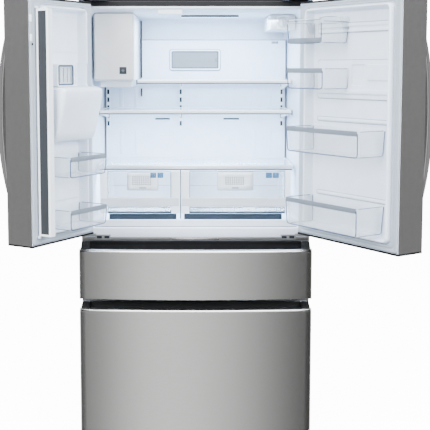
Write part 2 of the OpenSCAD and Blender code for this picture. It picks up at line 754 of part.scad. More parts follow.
module mullion_strip()
    color("dimgray") on_left_door()
        block([mullion_face - 2, inner_face + 13, mullion_z[0] + 8],
            [mullion_face, inner_face + 49, mullion_z[1] - 8]);

// ---- right door

module right_door_shell() color("gray") on_right_door() door_skin([right_x0, right_x1]);

right_dike = [right_x1 - 505, right_x1 - 50];
module right_door_liner()
    color("aliceblue") on_right_door() door_panel([right_x0, right_x1], right_dike);

module right_door_gasket()
    color("lightgray") on_right_door() door_seal([right_x0, right_x1], right_dike);

module right_door_caps()
    color("black") on_right_door() door_caps([right_x0, right_x1], 1, right_x0 + 26);

module right_door_handle()
    color("silver") on_right_door() bowed_handle(right_handle_x);

// each bin: how far its two ends are from the hinge side, then its bottom and top
right_bins = [[[66, 457], [1197, 1290]], [[66, 457], [922, 1024]], [[66, 270], [1430, 1505]]];
module right_door_bins()
    color("lightcyan", 0.4) on_right_door() for (b = right_bins)
        open_bin([right_x1 - b[0][1], bin_y[0], b[1][0]], [right_x1 - b[0][0], bin_y[1], b[1][1]],
            bin_t);

dairy_x = [right_x1 - 262, right_x1 - 66];
dairy_z = [1595, 1672];
lid_pin = [118, 1688];
lid_pin_r = 2.5;
module dairy_bin()
    color("lightcyan", 0.4) on_right_door() difference() {
        union() {
            difference() {
                profile_x([[bin_y[0], dairy_z[0]], [bin_y[1], dairy_z[0]], [bin_y[1], dairy_z[1]],
                    [lid_pin[0] + 8, lid_pin[1] - 7], [bin_y[0], lid_pin[1] - 7]], dairy_x);
                block([dairy_x[0] + bin_t, bin_y[0] + bin_t, dairy_z[0] + bin_t],
                    [dairy_x[1] - bin_t, bin_y[1] - bin_t, lid_pin[1] + 20]);
            }
            // ears that hold the lid's pin
            for (x = [dairy_x[0], dairy_x[1] - 4])
                block([x, lid_pin[0] - 7, lid_pin[1] - 14], [x + 4, lid_pin[0] + 7, lid_pin[1] + 7]);
        }
        translate([dairy_x[0] - 1, lid_pin[0], lid_pin[1]]) rotate([0, 90, 0])
            cylinder(r = lid_pin_r + 0.05, h = dairy_x[1] - dairy_x[0] + 2);
    }

// clear flap over the dairy bin, hinged along its rear edge
module dairy_lid()
    color("lightcyan", 0.4) on_right_door() {
        translate([dairy_x[0] + 0.5, lid_pin[0], lid_pin[1]]) rotate([0, 90, 0])
            cylinder(r = lid_pin_r, h = dairy_x[1] - dairy_x[0] - 1);
        profile_x([[lid_pin[0], lid_pin[1] - 1.5], [lid_pin[0], lid_pin[1] + 1.5],
            [bin_y[1] - 4, dairy_z[1] + 6], [bin_y[1] + 2, dairy_z[1] + 3],
            [bin_y[1] + 2, dairy_z[1] - 8], [bin_y[1] + 0.5, dairy_z[1] - 8],
            [bin_y[1] + 0.5, dairy_z[1] + 1.5], [bin_y[1] - 4, dairy_z[1] + 3]],
            dairy_x + [5, -5]);
    }

// ---------------------------------------------------------------- drawers

crisper_z = [910, 1088];
// a clear drawer with a taller and wider front
module crisper(x, tub_x)
    difference() {
        union() {
            plate(x, crisper_z, [crisper_front_y, crisper_front_y + 6], 4);
            // grip along the front
            block([x[0], crisper_front_y - 5, 937], [x[1], crisper_front_y + 1, 972]);
            block([tub_x[0], crisper_front_y + 4, crisper_z[0] + 3],
                [tub_x[1], shelf_back_y - 3, crisper_z[1] - 10]);
        }
        block([tub_x[0] + bin_t, crisper_front_y + 6, crisper_z[0] + 3 + bin_t],
            [tub_x[1] - bin_t, shelf_back_y - 3 - bin_t, crisper_z[1] + 1]);
    }
module crisper_left()
    color("lightcyan", 0.5) placed() crisper([-392, crisper_split - 3], [-380, crisper_split - 8]);
module crisper_right()
    color("lightcyan", 0.5) placed() crisper([crisper_split + 3, 390], [crisper_split + 8, 380]);

// steel front with a bright lip along its top
lip_h = 5;
lip_y = 26;
module drawer_front(z) {
    difference() {
        curved_front([-half_w, half_w], z, door_back - 3);
        curved_front([-half_w + sheet, half_w - sheet], z + [sheet, 1], door_back, sheet);
    }
    curved_front([-half_w, half_w], [z[1] - lip_h, z[1]], lip_y);
}

// black moulding behind the lip, hollowed as a grip from above, with a cap at each end
pull_h = 62;
cap_w = 35;
module drawer_pull(top, rise) {
    profile_x([[lip_y, top - pull_h], [door_back - 3, top - pull_h], [door_back - 3, top + rise],
        [92, top + rise], [74, top - 20], [56, top - 27], [40, top - 26], [lip_y, top - 10]],
        [-half_w + cap_w, half_w - cap_w]);
    for (side = [-1, 1]) scale([side, 1, 1])
        profile_x([[lip_y, top - pull_h], [door_back - 3, top - pull_h],
            [door_back - 3, top + rise], [84, top + rise], [50, top + 9], [lip_y, top - 2]],
            [half_w - cap_w, half_w - sheet]);
}

module drawer_seal(z, opening)
    difference() {
        plate([-half_w + 12, half_w - 12], z, [door_back + 1, flange_y - 1], 6);
        plate([-drawer_half_w + 3, drawer_half_w - 3], opening + [3, -3],
            [door_back, flange_y], 6);
    }

// inner panel on the back of the front, with the tub behind it
module drawer_tub(panel, opening, tub_z, back)
    union() {
        plate([-half_w + 3, half_w - 3], panel, [door_back - 3, door_back + 1], 4);
        plate([-drawer_half_w + 6, drawer_half_w - 6], opening + [6, -6],
            [door_back + 1, flange_y + 4], 6);
        open_bin([-tub_half_w, flange_y + 4, tub_z[0]], [tub_half_w, back, tub_z[1]], 3);
        // moving halves of the slides, along both sides
        for (side = [-1, 1]) scale([side, 1, 1])
            block([tub_half_w, flange_y + 4, tub_z[1] - 34],
                [tub_half_w + 11, back, tub_z[1] - 10]);
    }

module flex_front() color("silver") placed() drawer_front([flex_bottom, flex_top]);
module flex_pull() color("black") placed() drawer_pull(flex_top, 18);
module flex_gasket()
    color("gray") placed() drawer_seal([flex_bottom + 4, flex_top + 6], [flex_floor, flex_ceiling]);
module flex_tub()
    color("white") placed() drawer_tub([flex_bottom + 3, flex_top + 8],
        [flex_floor, flex_ceiling], [flex_floor + 12, 736], 606);

module freezer_front() color("silver") placed() drawer_front([freezer_bottom, freezer_top]);
module freezer_pull() color("black") placed() drawer_pull(freezer_top, 8.5);
module freezer_gasket()
    color("gray") placed() drawer_seal([freezer_floor - 22, freezer_top + 6],
        [freezer_floor, freezer_ceiling]);
module freezer_tub()
    color("white") placed() drawer_tub([freezer_bottom + 3, freezer_top + 8],
        [freezer_floor, freezer_ceiling], [freezer_floor + 12, 476], 456);

// ---------------------------------------------------------------- parts

cabinet_wrapper();
back_panel();
base_frame();
cabinet_insulation();
fresh_food_liner();
flex_liner();
freezer_liner();
front_frame();
top_trim();
hinge_brackets();
duct_panel();
air_filter_cover();
shelf_ladders();
shelf_glasses();
shelf_trims();
ice_maker_box();
ice_bucket();
water_filter_housing();
lamp_lens();
mullion_guide();
drawer_slides();
toe_grille();
levelling_legs();
cooling_system();
drain_pan();
inlet_valve();
power_inlet();
left_door_shell();
left_door_liner();
left_door_gasket();
left_door_caps();
left_door_handle();
dispenser_housing();
dispenser_panel();
dispenser_tray();
ice_chute();
left_door_bins();
mullion_bar();
mullion_strip();
dispenser_paddle();
right_door_shell();
right_door_liner();
right_door_gasket();
right_door_caps();
right_door_handle();
right_door_bins();
dairy_bin();
dairy_lid();
crisper_left();
crisper_right();
flex_front();
flex_pull();
flex_gasket();
flex_tub();
freezer_front();
freezer_pull();
freezer_gasket();
freezer_tub();
rear_rollers();
condenser_fan();
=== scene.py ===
"""French door refrigerator with both doors open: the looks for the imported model."""
import json
import math
import bmesh
import bpy
from mathutils import Matrix, Vector

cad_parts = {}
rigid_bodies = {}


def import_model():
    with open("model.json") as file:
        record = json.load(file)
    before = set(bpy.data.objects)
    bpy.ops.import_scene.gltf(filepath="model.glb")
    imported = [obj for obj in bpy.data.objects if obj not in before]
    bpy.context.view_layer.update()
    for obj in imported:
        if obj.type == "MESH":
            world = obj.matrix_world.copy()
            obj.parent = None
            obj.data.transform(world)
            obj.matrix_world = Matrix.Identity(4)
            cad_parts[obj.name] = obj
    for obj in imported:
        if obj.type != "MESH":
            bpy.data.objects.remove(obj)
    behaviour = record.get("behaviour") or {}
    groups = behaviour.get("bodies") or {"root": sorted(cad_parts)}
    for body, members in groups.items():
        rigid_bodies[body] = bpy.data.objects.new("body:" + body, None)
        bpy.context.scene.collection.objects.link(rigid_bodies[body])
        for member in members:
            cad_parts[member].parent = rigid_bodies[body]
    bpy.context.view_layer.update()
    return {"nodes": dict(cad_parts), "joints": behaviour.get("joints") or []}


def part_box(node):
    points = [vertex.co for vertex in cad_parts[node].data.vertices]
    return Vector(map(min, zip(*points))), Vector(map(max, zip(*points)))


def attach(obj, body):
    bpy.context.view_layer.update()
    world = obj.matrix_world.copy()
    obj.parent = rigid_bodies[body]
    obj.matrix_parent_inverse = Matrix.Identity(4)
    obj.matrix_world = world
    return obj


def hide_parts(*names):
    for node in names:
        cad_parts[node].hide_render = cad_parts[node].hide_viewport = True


for leftover in list(bpy.data.objects):
    bpy.data.objects.remove(leftover)
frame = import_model()
nodes = frame["nodes"]
joints = {joint["name"]: joint for joint in frame["joints"]}

# ------------------------------------------------------------------ places
# Pieces are drawn in millimetres about the cabinet's centre line, the plane of the drawer
# fronts and the floor.  A place is the matrix from there to the frame, in metres; the two
# door places also swing the closed door to where it stands at rest.

MM = 0.001
FLANGE_Y = 110                   # front face of the cabinet's steel frame
wrapper_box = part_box("cabinet_wrapper")
CABINET = Matrix.Translation((
    (wrapper_box[0].x + wrapper_box[1].x) / 2,
    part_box("front_frame")[0].y - FLANGE_Y * MM, 0)) @ Matrix.Scale(MM, 4)


def door_place(joint_name):
    """The place of a door that is drawn closed and stands open at rest."""
    joint = joints[joint_name]
    pin = Matrix.Translation(joint["pos_m"])
    turn = math.radians(-joint["range_deg"][0]) * joint["axis"][2]
    return pin @ Matrix.Rotation(turn, 4, "Z") @ pin.inverted() @ CABINET


LEFT = door_place("left_door_swing")
RIGHT = door_place("right_door_swing")
DOOR_PLACES = {"left_door": LEFT, "mullion": LEFT, "right_door": RIGHT, "dairy_lid": RIGHT}


def place_of(body):
    return DOOR_PLACES.get(body, CABINET)


def local_points(node, body):
    back = place_of(body).inverted()
    return [back @ vertex.co for vertex in nodes[node].data.vertices]


def corners(points):
    """Lowest and highest corner of a list of points."""
    return (Vector([min(p[i] for p in points) for i in range(3)]),
            Vector([max(p[i] for p in points) for i in range(3)]))


def span(node, body="cabinet"):
    return corners(local_points(node, body))


def solid_spans(node, body="cabinet"):
    """The span of each separate solid of a node, the highest first."""
    bm = bmesh.new()
    bm.from_mesh(nodes[node].data)
    bmesh.ops.remove_doubles(bm, verts=bm.verts, dist=1e-6)
    bm.transform(place_of(body).inverted())
    waiting = set(bm.verts)
    found = []
    while waiting:
        edge = [waiting.pop()]
        group = []
        while edge:
            vertex = edge.pop()
            group.append(vertex.co.copy())
            linked = {link.other_vert(vertex) for link in vertex.link_edges} & waiting
            waiting -= linked
            edge += linked
        found.append(corners(group))
    bm.free()
    return sorted(found, key=lambda s: -s[0].z)


# ------------------------------------------------------------------ materials

def feed(node, inputs):
    """Sets inputs of a node to constants, or links them where the value is a socket."""
    for name, value in inputs.items():
        if isinstance(value, bpy.types.NodeSocket):
            node.id_data.links.new(value, node.inputs[name])
        else:
            node.inputs[name].default_value = value


def add(tree, kind, inputs, output=0, **settings):
    """Adds a shader node, feeds it and returns one of its outputs."""
    node = tree.nodes.new("ShaderNode" + kind)
    for name, value in settings.items():
        setattr(node, name, value)
    feed(node, inputs)
    return node.outputs[output]


def blank_material(name):
    """A new material with its node tree and its Principled shader."""
    material = bpy.data.materials.new(name)
    material.use_nodes = True
    tree = material.node_tree
    return material, tree, tree.nodes["Principled BSDF"]


def noise(tree, scale, detail=3.0, stretch=(1, 1, 1)):
    """Noise over the object's own coordinates, in metres, stretched along some axes."""
    coords = add(tree, "TexCoord", {}, "Object")
    mapped = add(tree, "Mapping", {"Vector": coords, "Scale": stretch})
    return add(tree, "TexNoise", {"Vector": mapped, "Scale": scale, "Detail": detail}, "Fac")


def spread(tree, value, low, high):
    """Moves a noise, which lies about 0.3 to 0.7, to the range low to high."""
    return add(tree, "MapRange", {"Value": value, "From Min": 0.3, "From Max": 0.7,
                                  "To Min": low, "To Max": high}, "Result")


def shade(tree, bsdf, colour, value, contrast):
    """Base colour that varies by a contrast with a noise."""
    dark, light = [[min(1, c * (1 + way * contrast)) for c in colour] for way in (-1, 1)]
    feed(bsdf, {"Base Color": add(tree, "Mix", {"Factor": value, "A": (*dark, 1), "B": (*light, 1)},
                                  "Result", data_type="RGBA")})


def bump(tree, bsdf, value, strength, depth):
    feed(bsdf, {"Normal": add(tree, "Bump", {"Height": value, "Strength": strength,
                                             "Distance": depth})})


def moulded(name, colour, rough=0.32, grain=1400, strength=0.12, coat=0.0, shine=0.5):
    """Injection-moulded or rubbery plastic: faint mottling and a fine surface grain."""
    material, tree, bsdf = blank_material(name)
    shade(tree, bsdf, colour, spread(tree, noise(tree, 22), 0, 1), 0.025)
    fine = noise(tree, grain, 2)
    bump(tree, bsdf, fine, strength, 0.0002)
    feed(bsdf, {"Roughness": spread(tree, fine, rough - 0.05, rough + 0.06),
                "Coat Weight": coat, "Specular IOR Level": shine})
    return material


def brushed(name, colour, rough, along=(1, 1, 1), contrast=0.05, strength=0.12):
    """Brushed or rolled steel: long streaks along the axis with the small stretch."""
    material, tree, bsdf = blank_material(name)
    streaks = noise(tree, 60, 6, along)
    shade(tree, bsdf, colour, spread(tree, streaks, 0, 1), contrast)
    bump(tree, bsdf, streaks, strength, 0.0001)
    feed(bsdf, {"Metallic": 1, "Roughness": spread(tree, streaks, rough - 0.03, rough + 0.04)})
    return material


def clear(name, tint, flat_alpha, edge_alpha, rough=0.08, ior=1.5):
    """Clear plastic or glass: it thickens towards its edges and where it is seen aslant."""
    material, tree, bsdf = blank_material(name)
    shade(tree, bsdf, tint, spread(tree, noise(tree, 30), 0, 1), 0.03)
    facing = add(tree, "LayerWeight", {"Blend": 0.45}, "Facing")
    alpha = add(tree, "MapRange", {"Value": facing, "To Min": flat_alpha, "To Max": edge_alpha},
                "Result")
    fine = noise(tree, 300, 2)
    feed(bsdf, {"Alpha": alpha, "IOR": ior,
                "Roughness": spread(tree, fine, rough - 0.02, rough + 0.03)})
    return material


def galvanised(name, colour, rough=0.42):
    """Zinc-coated steel with its spangle."""
    material, tree, bsdf = blank_material(name)
    coords = add(tree, "TexCoord", {}, "Object")
    spangle = add(tree, "TexVoronoi", {"Vector": coords, "Scale": 70}, "Color")
    tone = add(tree, "SeparateColor", {"Color": spangle}, "Red")
    shade(tree, bsdf, colour, tone, 0.07)
    bump(tree, bsdf, noise(tree, 500, 2), 0.05, 0.0002)
    feed(bsdf, {"Metallic": 1, "Roughness": spread(tree, tone.node.outputs["Green"],
                                                   rough - 0.04, rough + 0.04)})
    return material


def glowing(name, colour, glow):
    """A lamp's diffuser."""
    material = moulded(name, colour, 0.4)
    feed(material.node_tree.nodes["Principled BSDF"],
         {"Emission Color": (*colour, 1), "Emission Strength": glow})
    return material


def porous(name, colour, scale):
    """Foam or a dusty rough casting."""
    material, tree, bsdf = blank_material(name)
    pores = noise(tree, scale, 5)
    shade(tree, bsdf, colour, spread(tree, pores, 0, 1), 0.15)
    bump(tree, bsdf, pores, 0.5, 0.001)
    feed(bsdf, {"Roughness": 0.85})
    return material


UPRIGHT = (22, 22, 0.35)         # stretch of noise into upright streaks
LEVEL = (0.35, 14, 14)           # into level streaks
# the frame's slots first, then the looks that only some pieces have
LOOKS = {
    "cabinet_paint": (moulded, (0.085, 0.087, 0.092), 0.42, 700, 0.3),
    "zinc_steel": (galvanised, (0.52, 0.53, 0.54)),
    "door_steel": (brushed, (0.50, 0.50, 0.50), 0.44, (1, 1, 1), 0.03, 0.05),
    "drawer_steel": (brushed, (0.70, 0.70, 0.69), 0.2, LEVEL, 0.01, 0.003),
    "handle_steel": (brushed, (0.74, 0.74, 0.74), 0.3, UPRIGHT, 0.03, 0.03),
    "liner_white": (moulded, (0.77, 0.84, 0.95), 0.3, 1100, 0.04, 0.15),
    "part_white": (moulded, (0.86, 0.90, 0.94), 0.28, 1400, 0.04, 0.1),
    "warm_grey": (moulded, (0.66, 0.67, 0.69), 0.34, 1600, 0.06),
    "clear": (clear, (0.78, 0.86, 0.95), 0.02, 0.4),
    "shelf_glass": (clear, (0.62, 0.76, 0.87), 0.12, 0.6, 0.04, 1.52),
    "seal_grey": (moulded, (0.36, 0.41, 0.48), 0.5, 1800, 0.1),
    "dark_plastic": (moulded, (0.014, 0.014, 0.0145), 0.65, 900, 0.15, 0, 0.12),
    "black_glass": (moulded, (0.012, 0.012, 0.013), 0.08, 300, 0.01, 0.8),
    "strip_grey": (moulded, (0.029, 0.031, 0.035), 0.5, 900, 0.1, 0, 0.25),
    "foam": (porous, (0.72, 0.62, 0.36), 260),
    "copper_black": (porous, (0.03, 0.03, 0.032), 800),
    "filter_silver": (moulded, (0.21, 0.215, 0.225), 0.3, 1200, 0.1),
    "lamp": (glowing, (0.86, 0.93, 1.0), 1.2),
    "rubber_black": (moulded, (0.02, 0.02, 0.02), 0.7, 500, 0.4),
    "polished_steel": (brushed, (0.95, 0.95, 0.94), 0.2, LEVEL, 0.01, 0.01),
    "rail_grey": (moulded, (0.15, 0.175, 0.21), 0.35, 1500, 0.08),
    "edge_blue": (moulded, (0.045, 0.07, 0.16), 0.25, 1500, 0.03),
    "seam_grey": (moulded, (0.24, 0.28, 0.34), 0.4, 1500, 0.03),
    "rim_blue": (moulded, (0.05, 0.075, 0.14), 0.3, 1500, 0.03),
    "frosted_grey": (moulded, (0.33, 0.38, 0.44), 0.45, 2200, 0.1),
    "grip_grey": (moulded, (0.60, 0.62, 0.65), 0.4, 1500, 0.06),
    "frosted_clear": (clear, (0.80, 0.88, 0.95), 0.2, 0.7, 0.3),
    "slate_blue": (moulded, (0.024, 0.033, 0.046), 0.4, 1400, 0.05, 0, 0.2),
    # a darker copy of dark_plastic for the middle drawer's grip: painted shade in its scoop
    "pocket_black": (moulded, (0.006, 0.006, 0.0065), 0.7, 900, 0.15, 0, 0.05),
    "slot_black": (moulded, (0.01, 0.014, 0.022), 0.6),
    "badge_blue": (moulded, (0.04, 0.15, 0.30), 0.4),
    "badge_dark": (moulded, (0.03, 0.032, 0.036), 0.4),
    "header_grey": (moulded, (0.016, 0.016, 0.017), 0.6, 900, 0.1, 0, 0.2),
    "frame_steel": (brushed, (0.50, 0.50, 0.49), 0.42, LEVEL, 0.05, 0.1),
    "screw_steel": (brushed, (0.6, 0.6, 0.6), 0.3, (1, 1, 1), 0.06, 0.1),
    "ice_blue": (clear, (0.55, 0.68, 0.84), 0.55, 0.85, 0.15),
}
MATERIALS = {name: make(name, *values) for name, (make, *values) in LOOKS.items()}


# ------------------------------------------------------------------ outlines and rings

def rounded(points, radius, steps=4):
    """An open line with each inner corner turned into a small curve."""
    result = [points[0]]
    for before, corner, after in zip(points, points[1:], points[2:]):
        before, corner, after = Vector(before), Vector(corner), Vector(after)
        into = before - corner
        out = after - corner
        cut = min(radius, into.length * 0.45, out.length * 0.45)
        start = corner + into.normalized() * cut
        end = corner + out.normalized() * cut
        for i in range(steps + 1):
            t = i / steps
            result.append(tuple(start.lerp(corner, t).lerp(corner.lerp(end, t), t)))
    result.append(points[-1])
    return result


def outline(points, radius):
    """A closed outline with every corner but the first rounded."""
    return rounded(points + points[:1], radius)[:-1]


def round_outline(low, high, radius, steps=5):
    """A rounded rectangle between two corners, as points in a plane."""
    radius = max(0.01, min(radius, (high[0] - low[0]) / 2.001, (high[1] - low[1]) / 2.001))
    centres = ((high[0] - radius, high[1] - radius, 0), (low[0] + radius, high[1] - radius, 90),
               (low[0] + radius, low[1] + radius, 180), (high[0] - radius, low[1] + radius, 270))
    points = []
    for a, b, start in centres:
        for i in range(steps + 1):
            turn = math.radians(start + 90 * i / steps)
            points.append((a + radius * math.cos(turn), b + radius * math.sin(turn)))
    return points


def circle(centre, radius, count):
    """A circle as points in a plane."""
    turns = [math.tau * i / count for i in range(count)]
    return [(centre[0] + radius * math.cos(a), centre[1] + radius * math.sin(a)) for a in turns]


def upright(plane_points, y):
    """Puts a plane outline upright, facing along Y."""
    return [Vector((a, y, b)) for a, b in plane_points]


def flat(plane_points, z):
    """Lays a plane outline down, facing along Z."""
    return [Vector((a, b, z)) for a, b in plane_points]


def across(plane_points, x):
    """Turns a (Y, Z) outline into a ring at one X."""
    return [Vector((x, a, b)) for a, b in plane_points]


def inset_rings(low, high, steps, top=1):
    """Upright rounded rectangles inside two corners; a step is an inset, a radius and a Y."""
    return [upright(round_outline((low[0] + d, low[-1] + d), (high[0] - d, high[-1] - d * top), r), y)
            for d, r, y in steps]


# ------------------------------------------------------------------ pieces

def new_object(name, data, at=(0, 0, 0), turn=(0, 0, 0)):
    obj = bpy.data.objects.new(name, data)
    obj.location = at
    obj.rotation_euler = turn
    bpy.context.scene.collection.objects.link(obj)
    return obj


def round_edges(obj, width):
    """Rounds a piece's sharp edges by a width in millimetres and keeps its flats flat."""
    edge = obj.modifiers.new("edges", "BEVEL")
    edge.width = width * MM
    edge.segments = 2
    edge.limit_method = "ANGLE"
    edge.angle_limit = math.radians(32)
    edge.harden_normals = False
    normal = obj.modifiers.new("normals", "WEIGHTED_NORMAL")
    normal.keep_sharp = False
    normal.weight = 80


class Drawing:
    """A mesh that is drawn in millimetres in a body's place and then made into a piece."""

    def __init__(self, body="cabinet"):
        self.body = body
        self.bm = bmesh.new()

    def loft(self, rings, closed=True, looped=False, capped=False, cap_last=False):
        """Joins rings of equal length with quads; a ring is closed, or an open line."""
        rows = [[self.bm.verts.new(point) for point in ring] for ring in rings]
        count = len(rows[0])
        pairs = list(zip(rows, rows[1:])) + ([(rows[-1], rows[0])] if looped else [])
        for low, high in pairs:
            for i in range(count if closed else count - 1):
                j = (i + 1) % count
                self.bm.faces.new((low[i], low[j], high[j], high[i]))
        if capped:
            self.bm.faces.new(rows[0])
        if capped or cap_last:
            self.bm.faces.new(rows[-1])
        return self

    def rings(self, low, high, steps, top=1, **how):
        """A loft through rounded rectangles inside two corners."""
        return self.loft(inset_rings(low, high, steps, top), **how)

    def along(self, profile, left, right):
        """A bar along X with a (Y, Z) profile."""
        return self.loft([across(profile, left), across(profile, right)], capped=True)

    def tube(self, path, radius, sides=8):
        """A round bar along a path."""
        points = [Vector(point) for point in path]
        heading = (points[1] - points[0]).normalized()
        turn = heading.to_track_quat("Z", "Y")
        rings = []
        for i, point in enumerate(points):
            ahead = (points[min(i + 1, len(points) - 1)] - points[max(i - 1, 0)]).normalized()
            turn = heading.rotation_difference(ahead) @ turn
            heading = ahead
            rings.append([point + turn @ p for p in flat(circle((0, 0), radius, sides), 0)])
        return self.loft(rings, capped=True)

    def block(self, low, high, radius=1.5, steps=3):
        """A block with every edge rounded."""
        made = bmesh.ops.create_cube(self.bm, size=1)["verts"]
        low, high = Vector(low), Vector(high)
        size = high - low
        for vertex in made:
            vertex.co = Vector([low[i] + (vertex.co[i] + 0.5) * size[i] for i in range(3)])
        edges = list({edge for vertex in made for edge in vertex.link_edges})
        bmesh.ops.bevel(self.bm, geom=edges, offset=min(radius, min(size) * 0.49),
                        segments=steps, profile=0.5, affect="EDGES")
        return self

    def twins(self, low, high, radius):
        """A block and its mirror image on the cabinet's other side."""
        for side in (-1, 1):
            left, right = sorted((side * low[0], side * high[0]))
            self.block((left, *low[1:]), (right, *high[1:]), radius)
        return self

    def pierced_plate(self, low, high, holes, y):
        """A flat plate facing -Y with rectangular holes, each given by its two corners."""
        xs = sorted({low[0], high[0], *[h[k][0] for h in holes for k in (0, 1)]})
        zs = sorted({low[1], high[1], *[h[k][1] for h in holes for k in (0, 1)]})
        grid = [[self.bm.verts.new((x, y, z)) for z in zs] for x in xs]
        for i in range(len(xs) - 1):
            for k in range(len(zs) - 1):
                x = (xs[i] + xs[i + 1]) / 2
                z = (zs[k] + zs[k + 1]) / 2
                if not any(h[0][0] < x < h[1][0] and h[0][1] < z < h[1][1] for h in holes):
                    self.bm.faces.new((grid[i][k], grid[i + 1][k], grid[i + 1][k + 1],
                                       grid[i][k + 1]))
        return self

    def make(self, name, slot, look=None, replaces=None, bevel=0, solid=0, offset=-1):
        """Finishes the piece, with its slot's own look or another, and puts it on its body."""
        bmesh.ops.recalc_face_normals(self.bm, faces=self.bm.faces)
        self.bm.transform(place_of(self.body))
        mesh = bpy.data.meshes.new(name)
        self.bm.to_mesh(mesh)
        self.bm.free()
        for polygon in mesh.polygons:
            polygon.use_smooth = True
        mesh.materials.append(MATERIALS[look or slot])
        obj = new_object(name, mesh)
        if solid:
            thick = obj.modifiers.new("thickness", "SOLIDIFY")
            thick.thickness = solid * MM
            thick.offset = offset
        if bevel:
            round_edges(obj, bevel)
        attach(obj, self.body)
        if replaces:
            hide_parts(replaces)


# ------------------------------------------------------------------ CAD nodes that stay

BEVELS = {"cabinet_wrapper": 1.5, "back_panel": 0.5, "base_frame": 0.8, "top_trim": 2.5,
          "hinge_brackets": 0.9, "duct_panel": 2, "shelf_trims": 1.6, "shelf_glasses": 0.8,
          "ice_bucket": 1.2, "water_filter_housing": 1.2, "lamp_lens": 0.8, "mullion_guide": 1.2,
          "drawer_slides": 1.2, "toe_grille": 1, "drain_pan": 0.8, "inlet_valve": 0.8,
          "power_inlet": 0.8, "flex_liner": 1.2, "freezer_liner": 1.2, "front_frame": 0.6,
          "dispenser_housing": 1.2, "dispenser_panel": 1, "dispenser_tray": 0.8,
          "dispenser_paddle": 1.2, "ice_chute": 1.5, "mullion_strip": 0.6,
          "left_door_caps": 1, "right_door_caps": 1, "flex_tub": 1, "freezer_tub": 1,
          "left_door_shell": 0.9, "right_door_shell": 0.9, "cabinet_insulation": 1}


def finish_cad_nodes():
    """Gives every CAD node its procedural material, and rounds the edges of most."""
    for name, obj in nodes.items():
        for slot in obj.material_slots:
            slot.material = MATERIALS[slot.material.name]
        if name in BEVELS:
            weld = obj.modifiers.new("weld", "WELD")
            weld.merge_threshold = 1e-5
            flats = obj.modifiers.new("flats", "DECIMATE")
            flats.decimate_type = "DISSOLVE"
            flats.angle_limit = math.radians(0.4)
            round_edges(obj, BEVELS[name])


# ------------------------------------------------------------------ cabinet pieces

BACK = span("duct_panel")[0].y
VENT_Z = 1277                    # lower edge of the duct panel's two long outlets
OPENING_LOW, OPENING_HIGH = 833, 1746    # of the upper doors' opening, at its flange
SILL_TOP = 899
FLOOR_Z = 884
SLOT_PITCH, SLOT_H = 35, 21      # of the shelf ladders


def fresh_liner():
    """The moulded liner: a flange, walls that close in, round corners and a round back."""
    liner_low, liner_high = span("fresh_food_liner")
    rim, front, back = liner_high.x, liner_low.y, liner_high.y - 3
    # each ring: half width, bottom, top, corner radius, Y
    bottom, top = OPENING_LOW, OPENING_HIGH
    rings = ((rim, bottom, top, 8, front + 3), (rim, bottom, top, 8, front + 0.6),
             (rim - 1, bottom + 1, top - 1, 8, front), (418, 867, 1740, 17, front),
             (415.6, 869.4, 1737.6, 16, front + 0.8), (415, 870, 1736.5, 16, front + 3),
             (414.6, 870, 1731.4, 18, 130), (414.2, FLOOR_Z, 1725.2, 20, 152),
             (414, FLOOR_Z, 1723, 22, 162), (406.5, FLOOR_Z, 1723, 26, back - 26),
             (405, 885, 1722, 25, back - 14), (401, 889, 1718, 23, back - 5),
             (394, 896, 1711, 20, back - 0.8), (385, 905, 1702, 16, back))
    shape = Drawing().loft([upright(round_outline((-w, low), (w, high), r, 8), y)
                            for w, low, high, r, y in rings], cap_last=True)
    shape.make("fresh_liner", "liner_white", solid=1.8, offset=1, replaces="fresh_food_liner")


def sill():
    """The raised sill along the front of the floor, with a soft face and a rolled top."""
    profile = rounded([(113, 869.6), (131, 869.6), (131.5, 872), (130.2, SILL_TOP - 1),
                       (134, SILL_TOP), (149, SILL_TOP - 0.5), (160, FLOOR_Z + 0.4),
                       (160, FLOOR_Z - 1), (113, 867)], 5, 5)
    Drawing().along(profile, -413.5, 413.5).make("fresh_sill", "liner_white", bevel=0.4)
    groove = rounded([(126, 868), (130, 868), (130.6, 871.5), (129, 874), (126, 872)], 1)
    Drawing().along(groove, -412, 412).make("sill_groove", "seal_grey", "rail_grey")


def frame_trims():
    """Header and strip above and below the doors' opening, with the small plates on them."""
    top, bottom = OPENING_HIGH, OPENING_LOW
    header = Drawing().block((-452, 108.6, top + 0.5), (452, 110.4, top + 18.5), 0.6)
    for x in (-430, -150, 150, 430):
        header.block((x - 4, 107.8, top + 5), (x + 4, 109, top + 13), 0.5)
    header.make("header_trim", "cabinet_paint", "header_grey")
    strip = Drawing().block((-454, 109, bottom - 11.5), (454, 110.5, bottom - 1), 0.5)
    strip.make("lower_strip", "zinc_steel", "frame_steel")
    # openings in the lower hinge leaves
    openings = Drawing()
    for x in (344, 374):
        openings.twins((x, 104.3, bottom - 4), (x + 20, 105.4, bottom + 6), 0.6)
    openings.make("hinge_openings", "dark_plastic", "slot_black")
    # dark plate behind the slots of the toe grille
    Drawing().block((-446, 87, 16), (446, 89, 51.5), 0.8).make("grille_back", "dark_plastic")
    joiner = Drawing().block((-95, 107.6, bottom - 11), (94, 109.2, bottom - 2), 0.5)
    for x in (-88, 87):
        joiner.block((x - 2, 107, bottom - 8), (x + 2, 108, bottom - 4), 0.4)
    joiner.make("strip_joiner", "zinc_steel", "polished_steel")


